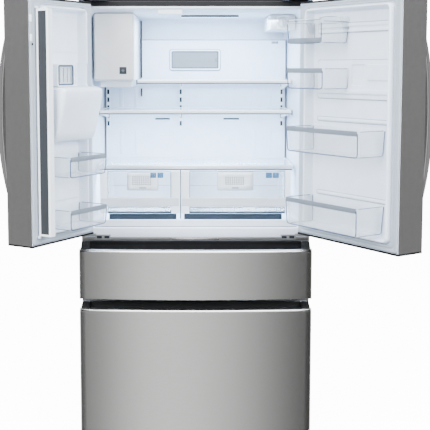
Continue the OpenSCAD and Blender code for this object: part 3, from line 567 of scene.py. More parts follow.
def duct_details():
    """Dark slots behind the outlets, the sensor's grille, and painted shadow lines along the duct
    panel's top edge and sides.
    """
    slots = Drawing()
    for left, right in ((-179, -116), (125, 193)):
        slots.block((left - 1, BACK - 0.3, VENT_Z - 0.5), (right + 1, BACK + 2, VENT_Z + 6.5),
                    0.3, 1)
    for i in range(5):
        slots.block((337.6 + i * 6, BACK - 0.4, 1613), (341.4 + i * 6, BACK + 2, 1623), 0.2, 1)
    slots.make("duct_slots", "dark_plastic", "slot_black")
    low, high = span("duct_panel")
    # painted shadow: thin dark blue strips along the duct panel's top edge and down both its sides
    joint = Drawing().block((-236, BACK - 0.7, high.z - 5), (high.x - 3, BACK + 1, high.z - 2), 0.6)
    for x in (low.x + 0.5, high.x - 3.5):
        joint.block((x, BACK - 0.7, 1090), (x + 3, BACK + 1, high.z - 5), 0.6)
    joint.make("duct_edge_shadow_lines", "seal_grey", "edge_blue")
    bezels = Drawing()
    for left, right in ((-186, -109), (118, 200)):
        outer = inset_rings((left, VENT_Z - 8), (right, VENT_Z + 14),
                            ((0, 5, BACK + 1), (0, 5, BACK - 0.6), (1, 4, BACK - 1.6)))
        inner = inset_rings((left + 6, VENT_Z - 1.5), (right - 6, VENT_Z + 7.5),
                            ((0, 3, BACK - 0.2), (0, 3, BACK + 1)))
        bezels.loft(outer + inner)
    bezels.make("duct_bezels", "liner_white")
    # low pressed ribs that stiffen the duct panel between the shelves
    ribs = Drawing()
    for x in (-330, -262, 262, 330):
        for bottom, top in ((1120, 1228), (1300, 1420)):
            ribs.rings((x - 9, bottom), (x + 9, top),
                       ((0, 9, BACK + 1), (0, 9, BACK - 0.2), (3, 6, BACK - 1.2)), cap_last=True)
    ribs.make("duct_ribs", "liner_white")


def filter_cover():
    """The air filter's cover: a rounded frame round a silver insert, with a latch."""
    low, high = span("air_filter_cover")
    front, back = low.y, high.y
    rim = Drawing().rings(low, high, ((0, 10, back), (0, 10, front + 3), (1, 9, front + 1),
                                      (3, 8, front), (6, 6, front), (7.2, 5, front + 1.2),
                                      (7.6, 5, back)), looped=True)
    rim.make("filter_frame", "part_white", replaces="air_filter_cover")
    insert = Drawing().rings(low, high, ((7.2, 5, back - 0.5), (7.2, 5, front + 4),
                                         (8.5, 4, front + 3), (11, 3, front + 2.6)), capped=True)
    insert.make("filter_insert", "filter_silver")
    lines = Drawing().rings(low, high, ((7.3, 5, front + 4), (7.3, 5, front + 1.6),
                                        (7.8, 4.5, front + 1), (11.4, 4, front + 1.2),
                                        (11.8, 4, front + 3)), looped=True)
    lines.rings(low, high, ((-2, 11, back), (-2, 11, back - 1.4), (0.2, 10, back - 1.8),
                            (0.4, 10, back)), looped=True)
    lines.make("filter_lines", "part_white", "rim_blue")
    middle = (low.z + high.z) / 2
    latch = Drawing().block((low.x + 40, front + 1.6, middle - 6),
                            (high.x - 40, front + 3, middle - 5), 0.3)
    latch.block((high.x - 22, front - 1, middle - 9), (high.x - 14, front + 4, middle + 9), 2)
    latch.make("filter_latch", "part_white", "rail_grey")


def ladders():
    """Three slotted strips that the shelves hook into, with a dark block of painted shade in each
    slot.
    """
    plates, slots = Drawing(), Drawing()
    for low, high in solid_spans("shelf_ladders"):
        x = (low.x + high.x) / 2
        holes = []
        z = low.z + 14
        while z < high.z - SLOT_H - 2:
            holes.append(((x - 4.6, z), (x + 4.6, z + SLOT_H)))
            # painted shade: a dark block in the slot stands for the darkness seen through it
            slots.block((x - 4.8, low.y + 1.7, z - 0.2), (x + 4.8, high.y - 0.5, z + SLOT_H + 0.2),
                        0.3, 1)
            z += SLOT_PITCH
        plates.pierced_plate((low.x + 0.5, low.z + 0.5), (high.x - 0.5, high.z - 0.5), holes, low.y)
        for side in (low.x, high.x - 1.6):
            plates.block((side, low.y, low.z), (side + 1.6, high.y, high.z), 0.6)
    plates.make("ladder_strips", "part_white", solid=1.6, bevel=0.4, replaces="shelf_ladders")
    slots.make("ladder_slot_shade", "dark_plastic", "slot_black")


def shelf_details():
    """Front trims of the shelves, with end brackets and a painted shadow line under each, and the
    crisper cover's front with a painted shadow line under it.
    """
    upper, lower, cover = solid_spans("shelf_glasses")
    fronts, ends, front_shadow_lines = Drawing(), Drawing(), Drawing()
    for low, high in (upper, lower):
        profile = outline([(low.y - 8, high.z - 12), (low.y - 11.5, high.z - 8),
                           (low.y - 11.5, high.z + 0.5), (low.y - 7, high.z + 2.6),
                           (low.y + 3, high.z + 1.4)], 3)
        fronts.along(profile, low.x - 9.5, high.x + 9.5)
        for x in (low.x - 9.6, high.x + 3.6):
            ends.block((x, low.y - 14, high.z - 17), (x + 6, low.y + 22, high.z + 3.4), 2.2)
        # painted shadow: a dark blue strip just under each shelf's front trim
        front_shadow_lines.block((low.x - 6, low.y - 12, high.z - 13.8), (high.x + 6, low.y - 4, high.z - 10),
                       1)
    fronts.make("shelf_fronts", "part_white", bevel=0.5)
    ends.make("shelf_ends", "part_white", "rail_grey")
    front_shadow_lines.make("shelf_front_shadow_lines", "seal_grey", "edge_blue")
    low, high = cover
    profile = outline([(low.y - 10, high.z - 16), (low.y - 12.5, high.z - 12),
                       (low.y - 12.5, high.z), (low.y - 6, high.z + 2.2), (low.y, high.z + 1.4)],
                      2.5)
    Drawing().along(profile, low.x - 9, high.x + 9).make("cover_front", "part_white")
    # painted shadow: a dark blue line just under the cover's front
    seal = Drawing().block((low.x - 4, low.y - 12, high.z - 19), (high.x + 4, low.y - 3, high.z - 14))
    seal.make("cover_front_shadow_line", "seal_grey", "rim_blue")


def ice_maker():
    """The ice maker's cover: a rounded front with a seam, and a square generic mark."""
    low, high = span("ice_maker_box")
    front, back = low.y, high.y
    face = Drawing().rings(low, high, ((3, 5, front + 14), (3, 5, front + 2), (6, 4, front + 0.2),
                                       (9, 4, front)), top=0.3, cap_last=True)
    face.make("ice_cover_front", "warm_grey", solid=2)
    sides = Drawing().rings(low, high, ((0, 6, back), (0, 6, front + 6.5), (0.8, 6, front + 5.6),
                                        (2.2, 6, front + 5.6), (2.2, 6, back - 2)),
                            top=0.3, looped=True)
    sides.make("ice_cover_sides", "part_white", replaces="ice_maker_box")
    seam = rounded([(low.x + 0.5, front + 3, low.z + 5), (low.x + 0.5, front + 3, high.z - 0.5),
                    (high.x - 4, front + 3, high.z - 0.5)], 6)
    Drawing().tube(seam, 1).make("ice_outline", "part_white", "seam_grey")
    x, z = -288.5, 1496          # middle of the mark
    plate = Drawing().block((x - 16, front - 0.9, z - 16), (x + 16, front + 0.4, z + 16), 1.6)
    plate.make("ice_mark_plate", "part_white")
    mark = Drawing().block((x - 14.5, front - 1.5, z - 14.5), (x + 14.5, front - 0.4, z + 14.5), 1.2)
    mark.make("ice_mark", "dark_plastic", "badge_dark")
    star = Drawing()
    for _ in range(3):
        star.block((-7, -0.5, -0.7), (7, 0.2, 0.7), 0.2)
        star.bm.transform(Matrix.Rotation(math.radians(60), 4, "Y"))
    star.bm.transform(Matrix.Translation((x, front - 1.6, z)))
    star.make("ice_mark_star", "warm_grey", "rail_grey")
    # the bucket's clear lower tray, seen under the cover
    tray = rounded([(214, 1431), (214, 1452), (224, 1454), (560, 1454), (560, 1431)], 4)
    Drawing().along(tray, -383, -258).make("ice_tray_front", "clear", "ice_blue", bevel=1)
    # the dark joint between the cover and the rear wall
    joint = Drawing().block((-243, 590, 1380), (-237, 599, 1416), 1)
    joint.block((-243, 590, 1462), (-237, 599, 1713), 1)
    joint.make("ice_joint", "dark_plastic", "slot_black")


def water_filter():
    """Rings and a grip on the cartridge's end, and plates on both sides of it."""
    low, high = span("water_filter_housing")
    x, z = (low.x + high.x) / 2, (low.z + high.z) / 2 - 1
    rings = ((21.5, 5), (21.5, 0.5), (20, -1.5), (15, -2.2), (13.5, -1), (13, 1.2), (4, 1.4))
    cap = Drawing().loft([upright(circle((x, z), r, 32), low.y + 4 + d) for r, d in rings],
                         capped=True)
    cap.block((x - 2.5, low.y - 1, z - 12), (x + 2.5, low.y + 6, z + 12), 1.2)
    cap.make("filter_cap", "warm_grey")
    face = Drawing()
    for left, right in ((low.x + 3, x - 25), (x + 25, high.x - 3)):
        face.block((left, low.y - 1.4, low.z + 3), (right, low.y + 1, high.z - 3), 0.7)
    face.make("filter_face", "warm_grey")


def lamp_details():
    """The dark edge of the lamp's recess."""
    low, high = span("lamp_lens")
    edge = Drawing().block((low.x, low.y - 5, low.z - 0.5), (high.x, low.y - 1, high.z + 0.5), 0.8)
    edge.make("lamp_edge", "dark_plastic", "slot_black")


def crisper_bay():
    """A dark strip of painted shade in the recessed front of the crispers' floor, and the ledges that
    carry their cover.
    """
    # painted shade: a dark slate-blue strip in the recess under the crispers' fronts
    strip = Drawing()
    for left, right in ((-356, -79), (-47, 356)):
        strip.block((left, 238, FLOOR_Z + 0.5), (right, 244, 908), 1.2)
    strip.make("crisper_bay_shade_strip", "dark_plastic", "slate_blue")
    # the shadow line between the two crispers
    line = Drawing().block((-64, 243, FLOOR_Z + 2), (-60, 247.8, 1093), 0.6)
    line.make("crisper_divider_line", "dark_plastic", "slot_black")
    ledges = Drawing().twins((401.5, 236, 1079), (406, 590, 1093), 1.5)
    ledges.make("cover_ledges", "liner_white")


# ------------------------------------------------------------------ door pieces

DIKE_TOP = span("right_door_liner", "right_door")[1].y
GASKET_BACK = 102                # Y of the liner's flange, which the seal lies on
PANEL_FLOOR = 88                 # Y of the liner's floor inside the dike
GRID_MM = 4                      # between the lines of a door liner's mesh


def dike_rect(door):
    """The outer rectangle of a door liner's raised dike."""
    top = [p for p in local_points(f"{door}_liner", door) if abs(p.y - DIKE_TOP) < 0.5]
    low, high = corners(top)
    return (low.x, low.z), (high.x, high.z)


def inside(x, z, rect, radius):
    """Distance inside a rounded rectangle; negative outside."""
    half = ((rect[1][0] - rect[0][0]) / 2, (rect[1][1] - rect[0][1]) / 2)
    dx = abs(x - (rect[0][0] + rect[1][0]) / 2) - half[0] + radius
    dz = abs(z - (rect[0][1] + rect[1][1]) / 2) - half[1] + radius
    outside = math.hypot(max(dx, 0), max(dz, 0))
    return radius - outside - min(max(dx, dz), 0)


def ease(t):
    t = min(1, max(0, t))
    return t * t * (3 - 2 * t)


def panel_height(d):
    """Height of a door liner at a distance inside the outer edge of its dike."""
    rise = GASKET_BACK + (DIKE_TOP - GASKET_BACK) * ease((d + 1) / 5)
    drop = (DIKE_TOP - PANEL_FLOOR) * ease((d - 8) / 11)
    return rise - drop


def packed_lines(low, high, edges, steps):
    """Evenly spaced grid lines, with extra ones inside two edges and about some steps."""
    count = round((high - low) / GRID_MM)
    lines = [low + (high - low) * i / count for i in range(count + 1)]
    for edge, way in zip(edges, (1, -1)):
        lines += [edge + way * d for d in (-2, -1, 0, 1, 2, 3, 5, 7, 9, 11, 13, 15, 17, 19)]
    for step in steps:
        lines += [step + d for d in (-3, -2, -1, 0, 1, 2, 3) if low < step + d < high]
    lines = sorted(lines)
    result = [lines[0]]
    for value in lines[1:]:
        if value - result[-1] > 0.8:
            result.append(value)
    result[-1] = high
    return result


def door_liner(side, features):
    """A moulded door liner as a fine height field; features add low shapes on its floor."""
    door = f"{side}_door"
    low, high = span(f"{door}_liner", door)
    dike = dike_rect(door)
    xs = packed_lines(low.x, high.x, (dike[0][0], dike[1][0]),
                      [corner[0] for rect, *_ in features for corner in rect])
    zs = packed_lines(low.z, high.z, (dike[0][1], dike[1][1]),
                      [corner[1] for rect, *_ in features for corner in rect])
    grid = []
    for x in xs:
        column = []
        for z in zs:
            y = panel_height(inside(x, z, dike, 20))
            for rect, radius, height, soft in features:
                y += height * ease(inside(x, z, rect, radius) / soft)
            column.append((x, y, z))
        grid.append(column)
    shape = Drawing(door).loft(grid, closed=False)
    shape.make(f"{side}_liner", "liner_white", solid=2, replaces=f"{door}_liner")


def gasket(side):
    """A soft magnetic seal: a ring with a rolled edge, a channel and a thin bellows."""
    door = f"{side}_door"
    low, high = span(f"{door}_gasket", door)
    dike = dike_rect(door)
    gap = 3.2                    # between the seal and the dike
    inner = ((dike[0][0] - gap, dike[0][1] - gap), (dike[1][0] + gap, dike[1][1] + gap))
    outer = ((low.x, low.z), (high.x, high.z))
    back, face = low.y, high.y
    # how far each ring lies from the inner to the outer edge, and its Y
    section = ((0, back), (0, face - 3), (0.06, face - 0.8), (0.16, face), (0.34, face),
               (0.40, face - 1.8), (0.48, face - 2.2), (0.56, face - 1.8), (0.62, face - 0.2),
               (0.84, face - 0.2), (0.95, face - 1.2), (1, face - 4), (1, back))
    rings = []
    for s, y in section:
        ends = [[inner[k][i] + (outer[k][i] - inner[k][i]) * s for i in (0, 1)] for k in (0, 1)]
        rings.append(upright(round_outline(*ends, 18 - 10 * s, 6), y))
    Drawing(door).loft(rings, looped=True).make(f"{side}_gasket", "seal_grey",
                                                replaces=f"{door}_gasket")


def bin_shape(body, low, high, wall=2.2, taper=5, radius=14):
    """A clear bin: tapered walls with round corners, a rolled rim and a round floor edge."""
    height = high.z - low.z
    # inset and Z of each ring, up the outside and down the inside
    steps = [(taper + 5, low.z), (taper + 1.5, low.z + 1.2), (taper, low.z + 5),
             (1.6, low.z + height - 7), (0.3, low.z + height - 5), (0, low.z + height - 3),
             (0.3, high.z - 0.6), (1.1, high.z),
             (wall + 0.2, high.z - 0.6), (wall + 1.6, low.z + height - 7),
             (taper + wall, low.z + 6), (taper + wall + 4, low.z + wall)]
    return Drawing(body).loft([flat(round_outline((low.x + d, low.y + d * 0.3),
                                                  (high.x - d, high.y - d), radius), z)
                               for d, z in steps], capped=True)


def rail(body, low, high, height=17):
    """The grey band along the top of a bin's front."""
    section = outline([(high.y - 3.4, high.z - height), (high.y + 0.6, high.z - height),
                       (high.y + 1.2, high.z - height / 2), (high.y + 0.6, high.z + 0.6),
                       (high.y - 3.4, high.z + 0.6)], 1.4)
    return Drawing(body).along(section, low.x + 5, high.x - 5)


def bin_edges(body, low, high):
    """The thick corners of a clear bin, which look blue: front outline, ends and rims."""
    left, right = low.x, high.x
    edges = Drawing(body)
    edges.tube(rounded([(left + 2.6, high.y - 2.2, high.z - 8),
                        (left + 6.2, high.y - 5.8, low.z + 1.6),
                        (right - 6.2, high.y - 5.8, low.z + 1.6),
                        (right - 2.6, high.y - 2.2, high.z - 8)], 13), 1.9)
    for x, way in ((left, 1), (right, -1)):
        edges.tube(rounded([(x + way * 10, high.y - 22, low.z + 1.4),
                            (x + way * 10, low.y + 5, low.z + 1.4),
                            (x + way * 3.4, low.y + 2.4, high.z - 3)], 9), 1.3)
        edges.tube([(x + way * 1.4, low.y + 14, high.z - 1.6),
                    (x + way * 1.4, high.y - 14, high.z - 1.6)], 1.3)
    return edges


def bins(side):
    """Every bin of a door as a detailed clear bin with its rail."""
    door = f"{side}_door"
    node = f"{door}_bins"
    for number, (low, high) in enumerate(solid_spans(node, door), 1):
        bin_edges(door, low, high).make(f"{side}_bin_edges_{number}", "clear", "edge_blue")
        bin_shape(door, low, high).make(f"{side}_bin_{number}", "clear",
                                        replaces=node if number == 1 else None)
        rail(door, low, high).make(f"{side}_rail_{number}", "part_white", "rail_grey", bevel=0.3)


def left_door():
    low, high = dike_rect("left_door")
    left, right = low[0] + 16, high[0] - 16
    # pressed shapes, each given by its two corners, corner radius, height and softness
    features = [
        (((left + 4, 1560), (right - 4, 1700)), 12, 3, 8),
        (((left + 4, 1010), (right - 4, 1100)), 10, 2.5, 4),
        (((left + 4, 1228), (right - 4, 1256)), 4, -1.5, 6),
        (((-425, 1441), (-375, 1524)), 6, -4, 3),
    ]
    door_liner("left", features)
    gasket("left")
    bins("left")
    hump(left - 4, right + 4)
    chute()
    handle("left")
    mullion()


def mullion():
    """The folding mullion: a soft-edged bar with a groove, its pins, its ears and clips."""
    strip_low, strip_high = span("mullion_strip", "mullion")
    low, high = span("mullion_bar", "mullion")
    pin = LEFT.inverted() @ Vector(joints["mullion_fold"]["pos_m"])
    ear_h, ear_room = 8, 9
    bottom, top = low.z + ear_room, high.z - ear_room
    face, groove = strip_high.x, strip_low.x + 0.2
    section = rounded([(face, strip_high.y + 4), (face, high.y), (low.x, high.y),
                       (low.x, low.y), (face, low.y), (face, strip_low.y - 0.4)], 4)
    section += [(groove, strip_low.y - 0.4), (groove, strip_high.y + 0.4),
                (face, strip_high.y + 0.4)]
    bar = Drawing("mullion").loft([flat(section, bottom), flat(section, top)], capped=True)
    for z in (low.z, top):
        bar.tube([(pin.x, pin.y, z), (pin.x, pin.y, z + ear_room)], 2, 16)
    bar.make("mullion_body", "part_white", replaces="mullion_bar", bevel=0.8)
    ears = Drawing("left_door")
    for z in (low.z, high.z - ear_h):
        ears.block((pin.x - 6, 99, z), (pin.x + 7, pin.y + 5, z + ear_h))
    ears.make("mullion_ears", "liner_white")
    clips = Drawing("left_door")
    for z in (1668, 1600):
        clips.block((-108, 104, z), (-97, 109.2, z + 26), 2)
    clips.make("mullion_clips", "part_white")
    clip_pin = Drawing("left_door").block((-106, 112, 1586), (-99, 114.5, 1594), 1)
    clip_pin.make("mullion_clip_pin", "dark_plastic")


def hump(left, right):
    """The dispenser's hump on the inner side: full and round above, thinner below."""
    floor = PANEL_FLOOR - 1
    profile = rounded([(floor, 1437), (188, 1437), (207, 1428), (206, 1400), (172, 1262),
                       (156, 1238), (floor, 1238)], 24, 9)
    middle = Vector((floor, 1340))
    radius = 14                  # of the rounded sides

    def section(x, inset):
        """The profile at an X, shrunk towards its middle."""
        shrunk = []
        for y, z in profile:
            way = Vector((y, z)) - middle
            scale = (way.length - inset) / way.length
            shrunk.append(middle + way * scale if y > floor + 1 else (floor, z))
        return across(shrunk, x)
    turns = [math.radians(a) for a in (0, 20, 40, 60, 90)]
    steps = [(radius * (1 - math.cos(a)), radius * (1 - math.sin(a))) for a in turns]
    rings = [section(left + offset, inset) for offset, inset in steps]
    rings += [section(right - offset, inset) for offset, inset in reversed(steps)]
    shape = Drawing("left_door").loft(rings, closed=False, capped=True)
    shape.make("dispenser_hump", "liner_white", solid=2)


def chute():
    """The ice chute on the inner side: a white frame, a dark edge and a clear ribbed flap."""
    low, high = span("ice_chute", "left_door")
    face = high.y
    flap = Drawing("left_door").rings(low, high, ((9, 6, face - 14), (9, 6, face - 4),
                                                  (11, 5, face - 2.5), (15, 5, face - 2)),
                                      capped=True)
    flap.make("chute_flap", "clear", "frosted_clear")
    edge = Drawing("left_door").rings(low, high, ((5.5, 8, face - 1), (5, 8, face + 1),
                                                  (6, 7, face + 2.2), (10, 6, face + 1.6),
                                                  (10.6, 6, face - 1)), looped=True)
    for i in range(4):
        x = low.x + 17 + (high.x - low.x - 34) * i / 3
        edge.tube([(x, face - 1.8, low.z + 16), (x, face - 1.8, high.z - 16)], 1.1)
    edge.make("chute_edge", "part_white", "rim_blue")
    rim = Drawing("left_door").rings(low, high, ((0.4, 9, face - 6), (0, 9, face),
                                                 (1.5, 8, face + 1.8), (4.6, 8, face + 1.2),
                                                 (5, 8, face - 2)), looped=True)
    rim.make("chute_frame", "part_white")
    cover = Drawing("left_door").rings((low.x - 78, low.z + 8), (low.x - 18, high.z - 4),
                                       ((0, 8, 84), (0, 8, 92), (3, 6, 94)), capped=True)
    cover.make("chute_cover", "part_white", "frosted_clear", bevel=0.5)


def right_door():
    left = dike_rect("right_door")[0][0] + 12
    hinge_side = 361
    # pressed panels and ledges, each given by its bottom, top, height and softness
    features = [(((left, bottom), (hinge_side, top)), 9, height, soft)
                for bottom, top, height, soft in (
                    (1393, 1536, 5, 3), (1410, 1430, 6, 4), (1308, 1325, 6, 4),
                    (1634, 1670, 5, 3), (1643, 1657, -4, 3), (1030, 1046, 5, 4))]
    features.append((((left, 1460), (92, 1520)), 8, 4, 3))
    features.append((((102, 1442), (176, 1519)), 8, -4, 3))
    door_liner("right", features)
    seams(features, hinge_side)
    gasket("right")
    bins("right")
    dairy()
    handle("right")


def seams(features, hinge_side):
    """Painted shadow lines: thin dark tubes along the edges of the pressed shapes on the right door's
    liner.
    """
    lines = Drawing("right_door")
    for (low, high), radius, height, _ in features:
        y = PANEL_FLOOR + max(height, 0) * 0.5 + 0.6
        if high[0] == hinge_side:
            end = high[0] - 1
            lines.tube(rounded([(low[0], y, high[1]), (end, y, high[1]), (end, y, low[1]),
                                (low[0], y, low[1])], 9), 0.8)
        else:
            lines.tube(upright(round_outline(low, high, radius), y)
                       + [(high[0], y, high[1] - radius)], 0.7)
    lines.make("right_panel_shadow_lines", "liner_white", "seam_grey")


def handle(side):
    """A bowed bar with soft edges, thick in the middle, whose ends run into the door."""
    door = f"{side}_door"
    low, high = span(f"{door}_handle", door)
    half = (high.z - low.z) / 2
    middle = (high.z + low.z) / 2
    face, front = low.y, high.y
    depth = 32                   # of the bar at its middle
    grip_half = half - 50
    bow = front - face
    gap = bow - depth
    stations = 56

    def arc(sagitta, reach, d):
        radius = (reach * reach + sagitta * sagitta) / (2 * sagitta)
        return radius - math.sqrt(max(0, radius * radius - d * d))
    rings = []
    for i in range(stations + 1):
        d = (half - 0.4) * math.sin(math.pi * (i / stations - 0.5))
        outer = face + arc(bow, half, d)
        inner = front + 4 if abs(d) > grip_half else front - gap + arc(gap, grip_half, d)
        inner = max(min(inner, front + 4), outer + 2)
        radius = min(8, (inner - outer) * 0.45)
        rings.append(flat(round_outline((low.x, outer), (high.x, inner), radius, 6), middle + d))
    shape = Drawing(door).loft(rings, capped=True)
    shape.make(f"{side}_handle", "handle_steel", replaces=f"{door}_handle")


def dairy():
    """The dairy bin with its rail and its curved clear lid on round ears."""
    low, high = span("dairy_bin", "right_door")
    lid_low, lid_high = span("dairy_lid", "dairy_lid")
    front_top = lid_low.z + 10
    tub_high = Vector((high.x, high.y, front_top))
    bin_shape("right_door", low, tub_high).make("dairy_tub", "clear", replaces="dairy_bin")
    rail_high = Vector((high.x, high.y - 3, low.z + 19))
    rail("right_door", low, rail_high).make("dairy_rail", "part_white", "rail_grey")
    bin_edges("right_door", low, tub_high).make("dairy_edges", "clear", "edge_blue")
    profile = outline([(89, low.z + 40), (89, 1682), (100, 1697), (128, 1697), (134, 1684),
                       (126, 1668), (112, low.z + 40)], 6)
    ears = Drawing("right_door")
    for x in (low.x - 0.5, high.x - 3.5):
        ears.along(profile, x, x + 4)
    ears.make("dairy_ears", "clear", bevel=0.5)
    axis = RIGHT.inverted() @ Vector(joints["dairy_lid_lift"]["pos_m"])
    centre = Vector((axis.y, axis.z))
    # a quarter round from the pin to the front edge of the bin
    front = Vector((high.y + 1, front_top + 2))
    bend = Vector((front.x, centre.y + 4))
    outer, inner = [], []
    for i in range(15):
        t = i / 14
        point = centre.lerp(bend, t).lerp(bend.lerp(front, t), t)
        outer.append((point.x, point.y + 1.2))
        inner.append((point.x - 1.92 * t, point.y - 1.2 * (1 - t)))
    flap = Drawing("dairy_lid").along(outer + inner[::-1], lid_low.x + 5, lid_high.x - 5)
    flap.make("dairy_flap", "clear", replaces="dairy_lid", bevel=0.3)
    left, right = lid_low.x + 6, lid_high.x - 6
    edges = Drawing("dairy_lid")
    for x in (left, right):
        edges.tube(across(outer[2:], x), 0.9)
    edges.tube([(left, front.x, front.y + 1), (right, front.x, front.y + 1)], 1)
    edges.make("dairy_lid_edges", "clear", "edge_blue")
    middle = (lid_low.x + lid_high.x) / 2
    hub = Drawing("dairy_lid").along(circle(centre, 4.2, 16), lid_low.x + 4.6, lid_high.x - 4.6)
    hub.block((middle - 22, high.y - 1, front_top + 1), (middle + 22, high.y + 3, front_top + 6), 1.4)
    hub.make("dairy_hub", "clear", bevel=0.3)


# ------------------------------------------------------------------ drawers

HALF_W = (wrapper_box[1].x - wrapper_box[0].x) / 2 / MM
FRONT_Y = span("freezer_front")[0].y
SAGITTA = 22                     # depth of the arc that every steel front follows
FRONT_R = HALF_W ** 2 / (2 * SAGITTA) + SAGITTA / 2
CORNER = 7                       # radius of a front's side edges
HEM_BACK = 98                    # Y where a front's side flanges end
PULL_BACK = 99                   # Y of the grip mouldings' back
PULL_HALF, DEEP_HALF = 420, 190  # half widths of the scoop and of its deeper part


def front_line(x):
    """Y of the curved steel fronts at an X, with their rounded side corners."""
    y = FRONT_Y + FRONT_R - math.sqrt(FRONT_R ** 2 - x * x)
    past = abs(x) - (HALF_W - CORNER)
    if past > 0:
        y += CORNER - math.sqrt(max(0, CORNER ** 2 - past ** 2))
    return y


def front_stations():
    """X of the stations along a front, closer together at the rounded corners."""
    flat_part = HALF_W - CORNER
    middle = [-flat_part + 2 * flat_part * i / 48 for i in range(49)]
    curl = [flat_part + CORNER * math.sin(math.radians(a)) for a in (15, 30, 45, 60, 75, 90)]
    return [-x for x in reversed(curl)] + middle + curl


def drawer_front(name, node, body):
    """A brushed steel front with rolled edges, and the polished lip along its top."""
    low, high = span(node)
    stations = front_stations()
    face = [(x, front_line(x)) for x in stations]
    path = [(-HALF_W, HEM_BACK)] + face + [(HALF_W, HEM_BACK)]
    bottom, top = low.z, high.z - 7.5
    # how far the skin stands in from its face, and its height, from the hem up
    hem = ((12, bottom + 1.6), (3.5, bottom + 0.3), (1.2, bottom + 0.3), (0.3, bottom + 1.2),
           (0, bottom + 3), (0, bottom + 12), (0, top - 12), (0, top - 1.5), (0.8, top))
    rows = []
    for inset, z in hem:
        row = []
        for x, y in path:
            side_inset = min(inset, 2.5) if abs(x) >= HALF_W - 0.1 else 0
            fade = min(1, max(0, (HALF_W - abs(x)) / CORNER))
            row.append((x - math.copysign(side_inset, x), y + inset * fade, z))
        rows.append(row)
    skin = Drawing(body).loft(rows, closed=False)
    skin.make(name, "drawer_steel", solid=1.6, replaces=node)
    lip = outline([(3, high.z - 12), (0.6, high.z - 9), (0.2, high.z - 7.3), (3.2, high.z - 3),
                   (9, high.z - 0.2), (14, high.z), (23, high.z), (23, high.z - 4),
                   (14, high.z - 5)], 2.5)
    rows = []
    for x in stations:
        squeeze = 1 - 0.55 * ease((abs(x) - HALF_W + 60) / 60)
        rows.append([(x * (1 - 0.0012), min(y * squeeze + front_line(x), 36),
                      high.z + (z - high.z) * squeeze) for y, z in lip])
    Drawing(body).loft(rows, capped=True).make(f"{name}_lip", "drawer_steel", "polished_steel")
    line = Drawing(body).tube([(x, front_line(x) + 1.2, bottom + 1.8) for x in stations[4:-4]], 1.2)
    line.make(f"{name}_hem", "drawer_steel", "polished_steel")


def drawer_pull(name, node, front, body, look=None):
    """The black grip moulding: a scoop that is deeper in the middle, and two end caps."""
    floor, back_top = (corner.z for corner in span(node))
    top = span(front)[1].z
    rows = []
    for x, deep in ((-PULL_HALF, 0), (-DEEP_HALF - 15, 0), (-DEEP_HALF, 1), (DEEP_HALF, 1),
                    (DEEP_HALF + 15, 0), (PULL_HALF, 0)):
        scoop = outline([(28, floor), (PULL_BACK, floor), (PULL_BACK, back_top), (93, back_top),
                         (90, top + 4), (78, top - 12 - 8 * deep), (62, top - 19 - 12 * deep),
                         (40, top - 20 - 12 * deep), (30, top - 8)], 5)
        rows.append(across(scoop, x))
    grip = Drawing(body).loft(rows, capped=True)
    grip.make(name, "dark_plastic", look, replaces=node, bevel=0.4)
    cap = outline([(26, floor), (PULL_BACK, floor), (PULL_BACK, back_top), (84, back_top),
                   (52, top + 1), (26, top - 3)], 4)
    inner, outer = PULL_HALF + 0.5, HALF_W - 2.4
    caps = Drawing(body).along(cap, -outer, -inner).along(cap, inner, outer)
    caps.make(f"{name}_caps", "dark_plastic", bevel=1.6)
    # a thin raised line along the outer parts of the scoop
    beads = Drawing(body).twins((DEEP_HALF + 12, 66, top - 18.6),
                                (PULL_HALF - 6, 69, top - 15.4), 0.8)
    beads.make(f"{name}_beads", "dark_plastic", "header_grey")


def drawer_details():
    drawer_front("flex_skin", "flex_front", "middle_drawer")
    drawer_front("freezer_skin", "freezer_front", "freezer_drawer")
    # the middle drawer's grip takes the darker copy of the plastic, as painted shade
    drawer_pull("flex_grip", "flex_pull", "flex_front", "middle_drawer", "pocket_black")
    drawer_pull("freezer_grip", "freezer_pull", "freezer_front", "freezer_drawer")
    for name, top, back, body in (("flex", 736, 606, "middle_drawer"),
                                  ("freezer", 476, 456, "freezer_drawer")):
        # a rolled rim round the top of the tub
        path = flat(round_outline((-396, 117), (396, back - 1), 5), top)
        rim = Drawing(body).tube(path + path[:1], 3.2, 10)
        rim.make(f"{name}_tub_rim", "part_white", "rail_grey")


# ------------------------------------------------------------------ crispers

GRIP_LOW, GRIP_HIGH = 936, 976   # lower and upper edge of the grip band
LINE_Z = 1025                    # of the pane's cross line
MARK_Z, MARK_SIZE = 1057, 25     # lower edge and width of the square marks


